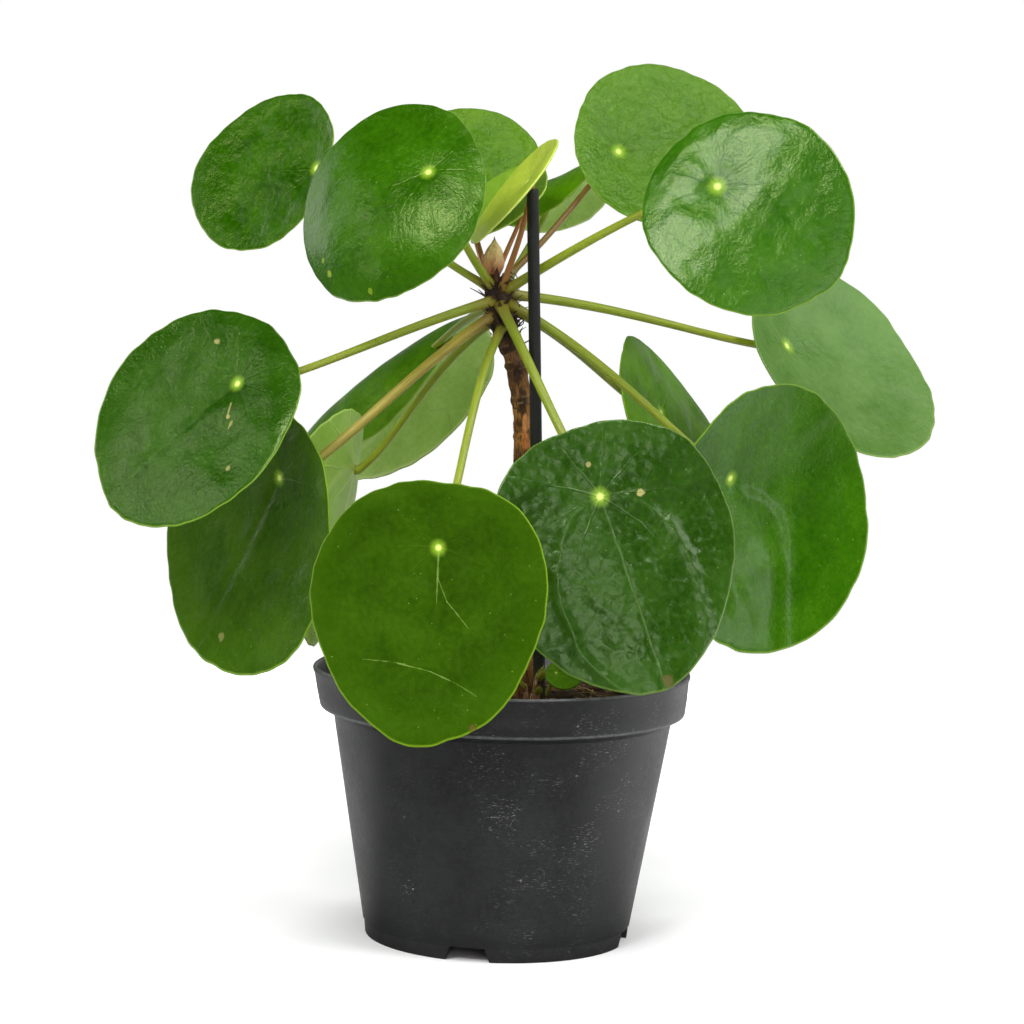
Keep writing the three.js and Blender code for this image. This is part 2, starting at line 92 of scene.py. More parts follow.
# Stake
STAKE_RADIUS = 1.9
STAKE_SIDES = 40
STAKE_TOP = (4.3, -13.5, 241.5)
STAKE_FOOT = (14.6, -8.5, 14)

# Stem
STEM_RADIUS = 2.9
STEM_FOOT_RADIUS = 3.3
CROWN_RADIUS = 4.4
CROWN_START = 190
STEM_TOP = 212.5
STEM_ROUTE = [
    (7, 3, 48), (6.4, 1, 76), (4.8, 0, 125), (3.9, 0, 158), (3.1, 0, 171),
    (0.4, 0, 185), (-2.3, 0, 193), (-4.9, 0, 205), (-6.4, 0, STEM_TOP),
]
LEAF_SCAR_HEIGHTS = [88, 99, 111, 124, 138, 150, 162, 174, 185, 190]
SCAR_SHADES = [0.5, 0.25, 0.6, 0.3, 0.4, 0.2, 0.1, 0.6, 1.0, 1.0]
KNOT_HEIGHT = 181
STEM_SIDES = 48
STEM_STEPS = 220
SCALE_COUNT = 74
SCALE_SEED = 5
CURL_COUNT = 22
CURL_SEED = 23
# From one scale to the next round the stem
GOLDEN_TURN = 2.39996
PAPER_THICKNESS = 0.22

# Bud
BUD_RADIUS = 3.2
BUD_HEIGHT = 12.5
BUD_BASE = (-7.3, 0.3, 213)
# Each bract: turn, share of the height, width, lean outwards, curl of its tip
BRACTS = (
    (8, 1.0, 6.4, -0.02, -0.6), (150, 0.96, 6.4, 0.0, -0.4), (255, 0.9, 5.6, 0.02, 0.0),
    (48, 0.74, 5.0, 0.05, 0.4), (-52, 0.62, 4.2, 0.08, 0.6),
)
# Each stipule: turn, length, width, lean outwards
STIPULES = ((-78, 11, 2.4, 0.34), (-62, 9, 1.8, 0.22), (-100, 7.5, 2.0, 0.42))

# Leaves
BLADE_THICKNESS = 0.8
# The square on which a flat blade is laid out, with its spot in the middle
PLAN_WIDTH = 200
BLADE_RINGS = 34
BLADE_SECTORS = 144
STALK_SIDES = 20
STALK_STEPS = 36
ROOT_SINK = 1.6

# Each leaf: spot, facing, lift, turn, length, width, eye, across, along, egg, skew,
# root (heading and height), stalk (its two diameters), arch.
LEAF_SIZES = [
    ((-66, 20, 245), -46, 24, -82, 61, 56, 0.12, 0, -2, 0.025, 0, (165, 210), (2.6, 2), 0.02),
    ((-28, -45, 247), -20, 28, -62, 70, 65, 0.26, 12, 15, 0.02, 0, (238, 211), (2.8, 2.3), 0.02),
    ((-19, 58, 254), 0, 53, 20, 50, 46, 0.35, 2, 2, 0, 0.01, (125, 213), (2.2, 1.8), 0.02),
    ((2, -8, 244), -79, 37, -30, 43, 40, 0.37, -3, 0, 0, 0, (295, 210.5), (2.2, 1.7), 0),
    ((2, 15, 240), -52, 45, -50, 34, 32, 0.25, -3, 1, 0, 0, (92, 212), (1.8, 1.4), 0),
    ((11, 55, 242), -120, 66, 12, 58, 54, 0.42, 42, -6, 0, 0, (66, 209), (2.6, 2), 0.02),
    ((32, 30, 253), 21, 34, 91, 67, 63, 0.24, -4, -2, 0.01, -0.02, (38, 214), (2.2, 1.8), 0.03),
    ((61, -35, 245), -14, 22, 55, 68, 63, 0.31, 0, 9, 0, -0.01, (328, 209), (3.2, 2.4), 0.1),
    ((90.3, 43, 190.7), 55, 31, 58, 80, 74, 0.26, -7, -8, 0, -0.028, (12, 207), (3.3, 2.5), 0.02),
    ((70.8, -9, 151.4), 45, -10, 44, 91.7, 85.7, 0.31, -2, -8, 0.005, -0.008,
     (330, 203.5), (3.3, 2.7), 0.02),
    ((28, -48, 149), 16, 12, 18, 85, 79, 0.29, -1, 0, 0.03, -0.015, (276, 203), (3.4, 2.8), -0.02),
    ((-21, -74, 135), -20, 6, -5, 81, 76, 0.28, 0, -2, 0.028, 0.024, (251, 196), (2.9, 2.5), 0.055),
    ((-86, -30, 179), -28, 29, -43, 76, 71, 0.27, -3, 4, 0, 0, (222, 205), (3.2, 2.4), -0.01),
    ((-73, -16, 148), -50, 2, -30, 90, 84, 0.24, -4, -2, -0.014, 0, (203, 200), (3.5, 3), -0.04),
    ((-51.9, 23, 147.2), -104, 2, 19, 78, 72, 0.25, -17, -3, 0, 0, (160, 198), (2.8, 2.3), 0),
    ((-37.2, 78, 180.4), -127, 51, 21, 84.5, 78.5, 0.36, 40, 7, 0, 0, (118, 203), (2.8, 2.3), 0.02),
    ((50, 48, 167), 67, 29, 36, 74, 69, 0.36, 6, -1, 0.01, 0, (45, 202), (2.8, 2.4), 0.02),
]
OFFSET_SIZES = ((17, 9, 85), 5, 45, 60, 12, 11, 0.3, 10, 10, 0, 0, (0, 0), (1.8, 1.2), 0.1)
OFFSET_ROOT = (11, 10, 66)
SIZE_NAMES = (
    "spot", "facing", "lift", "turn", "length", "width", "eye", "across", "along", "egg", "skew",
    "root", "stalk", "arch",
)
LEAVES = [dict(zip(SIZE_NAMES, sizes)) for sizes in LEAF_SIZES]
OFFSET_LEAF = dict(zip(SIZE_NAMES, OFFSET_SIZES))


# Colours and shader amounts

def paint(colour):
    """A colour of three values from 0 to 255, as the eye sees it, in the shader's linear values."""
    shares = [value / 255 for value in colour]
    linear = [s / 12.92 if s <= 0.04045 else ((s + 0.055) / 1.055) ** 2.4 for s in shares]
    return (*linear, 1.0)


class Amount:
    """A shader output that adds, multiplies and so on like a number: each step becomes a node."""

    def __init__(self, socket):
        self.socket = socket
        self.tree = socket.id_data

    def __add__(self, other):
        return math_step("ADD", self, other)

    def __sub__(self, other):
        return math_step("SUBTRACT", self, other)

    def __rsub__(self, other):
        return math_step("SUBTRACT", other, self)

    def __mul__(self, other):
        return math_step("MULTIPLY", self, other)

    def __truediv__(self, other):
        return math_step("DIVIDE", self, other)

    def __rtruediv__(self, other):
        return math_step("DIVIDE", other, self)

    def __abs__(self):
        return math_step("ABSOLUTE", self)

    __radd__ = __add__
    __rmul__ = __mul__


def feed(sockets, **values):
    """Links sockets to amounts, or sets their plain values. A name's underscores stand for spaces."""
    for label, value in values.items():
        socket = sockets[label.replace("_", " ")]
        if isinstance(value, Amount):
            value.tree.links.new(value.socket, socket)
        else:
            socket.default_value = value


def step_node(kind, operation, values):
    """A math node of one kind, in the tree of its first linked value."""
    tree = next(value.tree for value in values if isinstance(value, Amount))
    node = tree.nodes.new(kind)
    node.operation = operation
    for socket, value in zip(node.inputs, values):
        if isinstance(value, Amount):
            tree.links.new(value.socket, socket)
        else:
            socket.default_value = value
    return node


def math_step(operation, first, second=0.0, clamp=False):
    node = step_node("ShaderNodeMath", operation, (first, second))
    node.use_clamp = clamp
    return Amount(node.outputs[0])


def vector_step(operation, *vectors, output="Vector"):
    return Amount(step_node("ShaderNodeVectorMath", operation, vectors).outputs[output])


def times(vector, factor):
    node = step_node("ShaderNodeVectorMath", "SCALE", (vector,))
    feed(node.inputs, Scale=factor)
    return Amount(node.outputs["Vector"])


def largest(first, *others):
    for other in others:
        first = math_step("MAXIMUM", first, other)
    return first


def mix_colour(share, first, second):
    """Goes from the first colour to the second. Each is an amount, or three values of 0 to 255."""
    node = share.tree.nodes.new("ShaderNodeMix")
    node.data_type = "RGBA"
    feed(node.inputs, Factor=share)
    for socket, colour in zip((node.inputs[6], node.inputs[7]), (first, second)):
        if isinstance(colour, Amount):
            share.tree.links.new(colour.socket, socket)
        else:
            socket.default_value = paint(colour)
    return Amount(node.outputs[2])


def fade(value, low, high, at_low=0.0, at_high=1.0):
    """A smooth step of a value, from at_low where it is low to at_high where it is high."""
    node = value.tree.nodes.new("ShaderNodeMapRange")
    node.interpolation_type = "SMOOTHSTEP"
    feed(node.inputs, Value=value, From_Min=low, From_Max=high, To_Min=at_low, To_Max=at_high)
    return Amount(node.outputs["Result"])


def scaled(vector, scale=(1, 1, 1), shift=(0, 0, 0)):
    node = vector.tree.nodes.new("ShaderNodeMapping")
    feed(node.inputs, Vector=vector, Scale=scale, Location=shift)
    return Amount(node.outputs["Vector"])


def noise_of(vector, scale, detail=3.0, roughness=0.55, output="Fac"):
    node = vector.tree.nodes.new("ShaderNodeTexNoise")
    feed(node.inputs, Vector=vector, Scale=scale, Detail=detail, Roughness=roughness)
    return Amount(node.outputs[output])


def parts_of(vector):
    """A vector's x, y and z."""
    node = vector.tree.nodes.new("ShaderNodeSeparateXYZ")
    feed(node.inputs, Vector=vector)
    return [Amount(socket) for socket in node.outputs]


# Effects that several finishes share

def new_group(name, vectors, numbers, outputs):
    """An empty node group: the group, its inputs as amounts and the sockets of its outputs."""
    group = bpy.data.node_groups.new(name, "ShaderNodeTree")
    for label in vectors:
        group.interface.new_socket(label, in_out="INPUT", socket_type="NodeSocketVector")
    for label, value in numbers.items():
        socket = group.interface.new_socket(label, in_out="INPUT", socket_type="NodeSocketFloat")
        socket.default_value = value
    for label in outputs:
        group.interface.new_socket(label, in_out="OUTPUT", socket_type="NodeSocketFloat")
    inner, outer = group.nodes.new("NodeGroupInput"), group.nodes.new("NodeGroupOutput")
    given = [Amount(inner.outputs[label]) for label in (*vectors, *numbers)]
    return group, given, outer.inputs


def use_group(group, Place, **values):
    """Places a node group, feeds its inputs and gives its outputs by name."""
    node = Place.tree.nodes.new("ShaderNodeGroup")
    node.node_tree = group
    feed(node.inputs, Place=Place, **values)
    return {socket.name: Amount(socket) for socket in node.outputs}


def make_mottle():
    """Broad and fine cloudiness of a grown or moulded surface."""
    group, (place, broad_scale, fine_scale), out = new_group(
        "mottle", ["Place"], {"Broad Scale": 0.1, "Fine Scale": 1.0}, ["Broad", "Fine", "Both"])
    broad = fade(noise_of(place, broad_scale, 2.0), 0.3, 0.7)
    fine = fade(noise_of(place, fine_scale), 0.3, 0.7)
    feed(out, Broad=broad, Fine=fine, Both=broad * 0.6 + fine * 0.4)
    return group


def make_specks():
    """Scattered small round specks, such as dust, scurf or pores."""
    group, (place, scale, size, share), out = new_group(
        "specks", ["Place"], {"Scale": 1.0, "Size": 0.2, "Share": 0.3}, ["Mask"])
    cells = group.nodes.new("ShaderNodeTexVoronoi")
    feed(cells.inputs, Vector=place, Scale=scale)
    red, green, _ = parts_of(Amount(cells.outputs["Color"]))
    chosen = math_step("LESS_THAN", red, share)
    near = math_step("LESS_THAN", Amount(cells.outputs["Distance"]), size * green)
    feed(out, Mask=chosen * near)
    return group


def make_scratches():
    """Thin broken lines at one slant: where a slanted, stretched noise crosses its middle."""
    group, (place, scale, width, cover), out = new_group(
        "scratches", ["Place"], {"Scale": 1.0, "Width": 0.01, "Cover": 0.5}, ["Mask"])
    line = math_step("LESS_THAN", abs(noise_of(place, scale, 1.0) - 0.5), width)
    patch = noise_of(scaled(place, shift=(31, 7, 3)), scale * 0.7, 2.0)
    feed(out, Mask=line * math_step("GREATER_THAN", patch, 1.0 - cover))
    return group


def make_leaf_veins():
    """Veins that run out from the leaf's spot and curve to its tip, and the puckers between them.
    Place is in millimetres, from the spot towards the tip and across."""
    group, (place, rays, width, waver, arc_length, arc_width, pucker_scale), out = new_group(
        "leaf veins", ["Place"],
        {"Rays": 9.0, "Width": 0.5, "Waver": 0.5, "Arc Length": 30.0, "Arc Width": 22.0, "Pucker Scale": 0.3},
        ["Ray", "Arc", "Midrib", "Valley", "Pucker", "Streak", "From Spot"],
    )
    sway = noise_of(place, 0.06, 2.0) - 0.5
    tipward, sideward, _ = parts_of(place)
    from_spot = vector_step("LENGTH", place, output="Value")
    turn = math_step("ARCTAN2", sideward, tipward) + sway * waver
    ray_step = 2 * math.pi / rays
    off_ray = abs(math_step("FRACT", turn / ray_step + 20.5) - 0.5) * ray_step * from_spot
    ray = fade(off_ray / (width * fade(from_spot, 0, 30, 1.0, 0.3)), 0.1, 1.0, 1.0, 0.0)
    midrib = fade(abs(sideward + sway * 2.0) / width, 0.1, 1.0, 1.0, 0.0) * fade(tipward, 0.0, 5.0)
    along_arc = (tipward - arc_length) / arc_length
    across_arc = (sideward + sway * 4.0) / arc_width
    oval = math_step("SQRT", along_arc * along_arc + across_arc * across_arc)
    off_arc = abs(oval - 1.0) * arc_width
    arc = fade(off_arc / width, 0.1, 1.6, 1.0, 0.0)
    valley = math_step("POWER", fade(off_arc, 0.0, 4.5, 1.0, 0.0), 2.0)
    swing = times(noise_of(place, 0.2, 2.0, 0.5, output="Color"), 2.6)
    cells = group.nodes.new("ShaderNodeTexVoronoi")
    cells.feature = "SMOOTH_F1"
    cells.voronoi_dimensions = "2D"
    feed(cells.inputs, Vector=vector_step("ADD", place, swing), Scale=pucker_scale, Smoothness=0.6)
    spokes = group.nodes.new("ShaderNodeCombineXYZ")
    feed(spokes.inputs, X=math_step("COSINE", turn) * 5.0, Y=math_step("SINE", turn) * 5.0, Z=from_spot * 0.09)
    feed(out, Ray=ray, Arc=arc, Midrib=midrib, Valley=valley, From_Spot=from_spot,
         Pucker=1.0 - Amount(cells.outputs["Distance"]) * 1.2,
         Streak=noise_of(Amount(spokes.outputs["Vector"]), 1.3, 2.0, 0.6))
    return group


def make_round_mark():
    """One scar, stain or ring at a chosen place, in millimetres."""
    group, (place, centre, radius), out = new_group(
        "round mark", ["Place", "Centre"], {"Radius": 2.0}, ["Inside", "Ring"])
    wobble = (noise_of(place, 0.5, 2.0) - 0.5) * 1.4 * radius
    share = (vector_step("DISTANCE", place, centre, output="Value") + wobble) / radius
    feed(out, Inside=fade(share, 0.6, 1.0, 1.0, 0.0), Ring=fade(abs(share - 0.85), 0.05, 0.3, 1.0, 0.0))
    return group


def make_scored_line():
    """One straight thin line between two places, in millimetres, such as a single vein or a scratch."""
    group, (place, start, end, width), out = new_group(
        "scored line", ["Place", "Start", "End"], {"Width": 0.4}, ["Mask"])
    off = vector_step("SUBTRACT", place, start)
    whole = vector_step("SUBTRACT", end, start)
    share = math_step("DIVIDE", vector_step("DOT_PRODUCT", off, whole, output="Value"),
                      vector_step("DOT_PRODUCT", whole, whole, output="Value"), clamp=True)
    nearest = times(whole, share)
    sway = noise_of(place, 0.3, 2.0) - 0.5
    gap = abs(vector_step("DISTANCE", off, nearest, output="Value") + sway * 0.8)
    taper = width * fade(share, 0.4, 1.0, 1.0, 0.4)
    feed(out, Mask=fade(gap / taper, 0.2, 1.2, 1.0, 0.0))
    return group


MOTTLE = make_mottle()
SPECKS = make_specks()
SCRATCHES = make_scratches()
LEAF_VEINS = make_leaf_veins()
ROUND_MARK = make_round_mark()
SCORED_LINE = make_scored_line()


def new_material(name):
    """A material, its surface shader, and the nodes that give a place on the object."""
    material = bpy.data.materials.new(name)
    material.use_nodes = True
    nodes = material.node_tree.nodes
    return material, nodes["Principled BSDF"], nodes.new("ShaderNodeTexCoord")


def object_place(coordinates):
    """The place on the object, in millimetres."""
    return scaled(Amount(coordinates.outputs["Object"]), (1000, 1000, 1000))


def attribute_of(coordinates, name, output="Fac"):
    node = coordinates.id_data.nodes.new("ShaderNodeAttribute")
    node.attribute_name = name
    return Amount(node.outputs[output])


def surface(shader, colour, rough, relief, depth):
    """Feeds the shader with a colour, a roughness and a relief of the given depth in millimetres."""
    bump = colour.tree.nodes.new("ShaderNodeBump")
    feed(bump.inputs, Height=relief, Distance=depth * MM, Strength=1.0)
    feed(shader.inputs, Base_Color=colour, Roughness=rough, Normal=Amount(bump.outputs["Normal"]))


# Leaf finishes

def leaf_plan(coordinates):
    """The place on the flat blade in millimetres, with the spot at zero."""
    return scaled(Amount(coordinates.outputs["UV"]), (PLAN_WIDTH, PLAN_WIDTH, 0), (-PLAN_WIDTH / 2, -PLAN_WIDTH / 2, 0))


def leaf_upper(name, deep, light, vein, gloss=0.3, vein_strength=0.15, quilt=0.05, midrib=0.0, star=0.25,
               leather=0.2, swell=0.8, rim=(114, 148, 46), edge_glow=0.25, spot_size=1.0, marks=(), scores=(),
               coat=0.0, reach=34.0, sunk=0.0, sheen=(0.82, 1.0, 0.22), shine=0.42, ray_tint=1.0):
    """The waxy upper side: leathery green, creased veins, a thin pale rim and old marks."""
    material, shader, coordinates = new_material(name)
    place = leaf_plan(coordinates)
    edge = attribute_of(coordinates, "edge_share")
    cloud = use_group(MOTTLE, place, Broad_Scale=0.05, Fine_Scale=0.5)
    veins = use_group(LEAF_VEINS, place, Rays=9.0, Width=0.5, Waver=0.4, Arc_Length=reach * 0.9,
                      Arc_Width=reach * 0.62, Pucker_Scale=0.27)
    dust = use_group(SPECKS, place, Scale=0.5, Size=0.12, Share=0.5)
    pores = use_group(SPECKS, place, Scale=1.6, Size=0.3, Share=0.4)
    from_spot = veins["From Spot"]
    colour = mix_colour(cloud["Both"], deep, light)
    colour = mix_colour(fade(edge, 0.62, 0.99, 0.0, edge_glow), colour, light)
    rays = veins["Ray"] * fade(from_spot, 2.0, 26.0, 1.0, 0.12)
    lengthways = largest(veins["Arc"] * (0.15 + midrib * 0.15), veins["Midrib"] * midrib)
    colour = mix_colour(largest(rays * ray_tint, lengthways) * vein_strength, colour, vein)
    colour = mix_colour(pores["Mask"] * 0.14, colour, deep)
    colour = mix_colour(dust["Mask"] * 0.35, colour, (140, 168, 90))
    colour = mix_colour(fade(edge, 0.984, 0.996, 0.0, 0.85), colour, rim)
    worn = []
    for along, across, radius, tone, strength in marks:
        mark = use_group(ROUND_MARK, place, Centre=(along, across, 0), Radius=radius)
        worn.append(mark["Inside"] * strength)
        colour = mix_colour(worn[-1], colour, tone)
        colour = mix_colour(mark["Ring"] * (strength * 0.5), colour, (60, 62, 14))
    for start, end, width, tone, strength in scores:
        line = use_group(SCORED_LINE, place, Start=(*start, 0), End=(*end, 0), Width=width)
        colour = mix_colour(line["Mask"] * strength, colour, tone)
    colour = mix_colour(fade(from_spot, 0.8 * spot_size, 3.4 * spot_size, 0.6, 0.0), colour, (150, 190, 50))
    colour = mix_colour(fade(from_spot, 0.4 * spot_size, 1.4 * spot_size, 1.0, 0.0), colour, (214, 230, 122))
    rough = cloud["Both"] * 0.14 + (gloss - 0.07)
    if worn:
        rough += largest(*worn) * 0.3
    relief = noise_of(place, 0.95, 3.0, 0.66) * leather + noise_of(place, 0.16, 2.0, 0.5) * swell
    relief += veins["Pucker"] * quilt + veins["Streak"] * fade(from_spot, 1.0, 22.0, star, star * 0.15)
    relief -= largest(rays, lengthways) * (0.08 + quilt * 0.4) + veins["Valley"] * sunk
    surface(shader, colour, rough, relief, 0.55)
    feed(shader.inputs, Specular_IOR_Level=shine, Specular_Tint=(*sheen, 1), Coat_Weight=coat)
    if coat:
        feed(shader.inputs, Coat_Roughness=0.15)
    return material


def leaf_under(name, pale, shade, vein, strength=0.5):
    """The matte underside, paler than the upper side as the real leaf is, its tones lifted further as painted light for
    the light that shines through the thin leaf; the veins stand out.
    """
    material, shader, coordinates = new_material(name)
    place = leaf_plan(coordinates)
    edge = attribute_of(coordinates, "edge_share")
    cloud = use_group(MOTTLE, place, Broad_Scale=0.07, Fine_Scale=0.6)
    veins = use_group(LEAF_VEINS, place, Rays=9.0, Width=1.0, Waver=0.8, Arc_Length=30.0, Arc_Width=21.0,
                      Pucker_Scale=0.3)
    folds = largest(veins["Ray"], veins["Arc"])
    dots = use_group(SPECKS, place, Scale=1.4, Size=0.3, Share=0.5)
    colour = mix_colour(cloud["Both"], shade, pale)
    colour = mix_colour(veins["Pucker"] * 0.3, colour, shade)
    colour = mix_colour(folds * strength, colour, vein)
    colour = mix_colour(dots["Mask"] * 0.3, colour, (190, 210, 165))
    colour = mix_colour(fade(veins["From Spot"], 1.0, 7.0, 0.7, 0.0), colour, vein)
    colour = mix_colour(fade(edge, 0.96, 0.99, 0.0, 0.7), colour, vein)
    relief = folds * 0.6 + veins["Pucker"] * -0.3 + noise_of(place, 1.6) * 0.35
    surface(shader, colour, fade(cloud["Fine"], 0.0, 1.0, 0.42, 0.58), relief, 0.35)
    return material


def stalk_finish(name, foot, middle, tip, streak):
    """A fleshy stalk: fine lengthwise streaks, darker at the crown and paler at the blade."""
    material, shader, coordinates = new_material(name)
    wrap = attribute_of(coordinates, "wrap", "Vector")
    run = attribute_of(coordinates, "run")
    streaks = noise_of(scaled(wrap, (2.6, 2.6, 0.12)), 1.0)
    cloud = use_group(MOTTLE, wrap, Broad_Scale=0.16, Fine_Scale=1.1)
    dots = use_group(SPECKS, scaled(wrap, (1.6, 1.6, 0.8)), Scale=1.0, Size=0.24, Share=0.3)
    colour = mix_colour(fade(run, 0.0, 0.16), foot, middle)
    colour = mix_colour(fade(run, 0.5, 1.0), colour, tip)
    colour = mix_colour(fade(streaks, 0.4, 0.7, 0.0, 0.55), colour, streak)
    colour = mix_colour(cloud["Broad"] * 0.25, colour, foot)
    colour = mix_colour(dots["Mask"] * 0.35, colour, tip)
    surface(shader, colour, fade(cloud["Fine"], 0.0, 1.0, 0.34, 0.5), streaks + dots["Mask"] * 0.3, 0.14)
    return material


# Finishes of the pot, the peat, the stake and the stem

# Where the pot's wall is rubbed: middle and radius
POT_SCUFFS = (
    ((-3.5, -51, 66.5), 7), ((34, -41, 71), 9), ((0, -50, 49), 8), ((27, -40, 40), 7), ((38, -33, 56), 6),
    ((-30, -38, 22), 5), ((44, -33, 80), 6),
)


def satin_plastic():
    """Thin black moulded plastic: satin, scuffed, with pale dust and scratches on the right side, and painted highlight
    lines along the rim's top edge and the band's foot.
    """
    material, shader, coordinates = new_material("scuffed_black_plastic")
    place = object_place(coordinates)
    rightward, _, height_up = parts_of(place)
    cloud = use_group(MOTTLE, place, Broad_Scale=0.035, Fine_Scale=0.5)
    dust = use_group(SPECKS, place, Scale=0.3, Size=0.14, Share=0.2)
    grit = use_group(SPECKS, scaled(place, shift=(9, 4, 2)), Scale=0.9, Size=0.15, Share=0.08)
    scuffs = use_group(SCRATCHES, scaled(place, (0.7, 0.7, 2.2)), Scale=0.12, Width=0.006, Cover=0.3)
    hairs = use_group(SCRATCHES, scaled(place, (1.2, 1.2, 0.6), (40, 9, 2)), Scale=0.25, Width=0.005, Cover=0.36)
    rubs = fade(noise_of(scaled(place, (0.6, 0.6, 3.6)), 1.0, 3.0, 0.65), 0.59, 0.7)
    patches = noise_of(scaled(place, shift=(3, 8, 5)), 0.06, 2.0)
    rubbed = fade(rightward, -22, 18, 0.25, 1.0) * fade(patches, 0.48, 0.66, 0.08, 0.8)
    for centre, radius in POT_SCUFFS:
        scuff = use_group(ROUND_MARK, place, Centre=centre, Radius=radius)
        rubbed = largest(rubbed, scuff["Inside"] * 1.6)
    worn = largest(largest(scuffs["Mask"], hairs["Mask"]) * 0.5, rubs) * rubbed
    spotted = largest(dust["Mask"], grit["Mask"] * 0.6) * rubbed
    # Painted highlight: thin pale lines where the band's foot and the rim's top edge catch the light, broken up by the
    # fine mottle
    band_foot_highlight = fade(abs(height_up - (POT_HEIGHT - BAND_HEIGHT)), 0.25, 0.8, 0.3, 0.0)
    rim_top_highlight = fade(height_up, POT_HEIGHT - 0.9, POT_HEIGHT - 0.2, 0.0, 0.35)
    painted_edge_highlight = largest(band_foot_highlight, rim_top_highlight) * fade(cloud["Fine"], 0.1, 0.8, 0.6, 1.0)
    colour = mix_colour(cloud["Both"], (29, 29, 30), (39, 40, 40))
    colour = mix_colour(worn * 0.5, colour, (150, 150, 148))
    colour = mix_colour(spotted * 0.42, colour, (176, 172, 164))
    # The pale grey of the painted highlight lines along the rim and the band's foot
    colour = mix_colour(painted_edge_highlight, colour, (140, 142, 144))
    rings = noise_of(scaled(place, (0.02, 0.02, 1.0)), 1.0, 2.0)
    relief = noise_of(place, 1.4) * 0.5 + rings * 0.5 - worn * 0.35
    surface(shader, colour, fade(cloud["Both"], 0.0, 1.0, 0.36, 0.5) + spotted * 0.3, relief, 0.12)
    return material


def peat_finish(name, dark, brown, pale):
    """Crumbly peat: dark to mid brown, with pale flecks of bark and grit."""
    material, shader, coordinates = new_material(name)
    place = object_place(coordinates)
    cloud = use_group(MOTTLE, place, Broad_Scale=0.16, Fine_Scale=1.3)
    flecks = use_group(SPECKS, place, Scale=0.6, Size=0.34, Share=0.16)
    colour = mix_colour(cloud["Both"], dark, brown)
    colour = mix_colour(flecks["Mask"] * 0.7, colour, pale)
    relief = noise_of(place, 1.1, 4.0, 0.7) + flecks["Mask"]
    surface(shader, colour, fade(cloud["Fine"], 0.0, 1.0, 0.8, 0.98), relief, 0.6)
    return material


def stake_finish():
    """Matte black plastic with a fine grain, and peat dust towards the soil."""
    material, shader, coordinates = new_material("matte_black_stake")
    place = object_place(coordinates)
    height_up = parts_of(place)[2]
    cloud = use_group(MOTTLE, place, Broad_Scale=0.2, Fine_Scale=1.6)
    specks = use_group(SPECKS, place, Scale=1.5, Size=0.34, Share=0.5)
    colour = mix_colour(cloud["Both"], (9, 9, 10), (22, 22, 23))
    colour = mix_colour(specks["Mask"] * 0.3, colour, (86, 84, 80))
    colour = mix_colour(fade(height_up, 78, 96, 0.8, 0.0) * cloud["Fine"], colour, (92, 70, 48))
    surface(shader, colour, fade(cloud["Both"], 0.0, 1.0, 0.5, 0.68), noise_of(place, 2.4) + specks["Mask"] * 0.4,
            0.12)
    return material


# Where the bark differs, in millimetres with heights times 0.4: middle, radius, tone and strength
BARK_PATCHES = (
    ((3.2, -2.9, 69.2), 2.3, (20, 10, 8), 0.95), ((4.7, -2.6, 66.6), 1.6, (226, 150, 88), 0.95),
    ((4.5, -2.8, 64.4), 1.4, (204, 124, 62), 0.9), ((1.4, -2.9, 72.8), 1.6, (30, 15, 10), 0.8),
    ((3.0, -2.9, 61.2), 1.5, (34, 17, 10), 0.7), ((5.4, -2.4, 58.0), 1.4, (176, 106, 52), 0.7),
)


def bark_finish():
    """Reddish-brown bark, split lengthways, nearly black in the crown and pale at the leaf scars."""
    material, shader, coordinates = new_material("pilea_bark")
    place = object_place(coordinates)
    height_up = parts_of(place)[2]
    wrap = attribute_of(coordinates, "wrap", "Vector")
    scar = attribute_of(coordinates, "scar")
    grain = noise_of(scaled(wrap, (2.2, 2.2, 0.3)), 1.0, 4.0, 0.65)
    cloud = use_group(MOTTLE, place, Broad_Scale=0.14, Fine_Scale=0.9)
    specks = use_group(SPECKS, scaled(wrap, (1, 1, 0.8)), Scale=1.1, Size=0.3, Share=0.35)
    colour = mix_colour(cloud["Broad"], (66, 30, 6), (188, 128, 52))
    colour = mix_colour(fade(height_up, 168, 184, 0.0, 0.5), colour, (74, 42, 20))
    colour = mix_colour(fade(grain, 0.36, 0.56, 0.85, 0.0), colour, (28, 13, 7))
    colour = mix_colour(specks["Mask"] * 0.6, colour, (176, 124, 70))
    for centre, radius, tone, strength in BARK_PATCHES:
        patch = use_group(ROUND_MARK, scaled(place, (1, 1, 0.4)), Centre=centre, Radius=radius)
        colour = mix_colour(patch["Inside"] * fade(grain, 0.3, 0.62, strength * 0.5, strength), colour, tone)
    ringed = fade(scar, 0.45, 0.85, 0.0, 0.7) * fade(cloud["Broad"], 0.3, 0.6)
    colour = mix_colour(ringed, colour, (26, 13, 10))
    pale_line = fade(scar, 0.15, 0.35) * fade(scar, 0.35, 0.55, 1.0, 0.0) * fade(cloud["Fine"], 0.3, 0.8)
    colour = mix_colour(pale_line * 0.4, colour, (190, 160, 112))
    colour = mix_colour(fade(height_up, 184, 196, 0.0, 0.85), colour, (34, 17, 13))
    surface(shader, colour, fade(cloud["Fine"], 0.0, 1.0, 0.66, 0.9), grain + specks["Mask"] * 0.25, 0.6)
    return material


def dry_scale_finish(name, dark, pale):
    """Dry papery scales and fibres of the crown."""
    material, shader, coordinates = new_material(name)
    place = object_place(coordinates)
    cloud = use_group(MOTTLE, place, Broad_Scale=0.3, Fine_Scale=1.8)
    colour = mix_colour(cloud["Both"], dark, pale)
    surface(shader, colour, fade(cloud["Fine"], 0.0, 1.0, 0.5, 0.85), noise_of(place, 2.0, 4.0), 0.25)
    return material


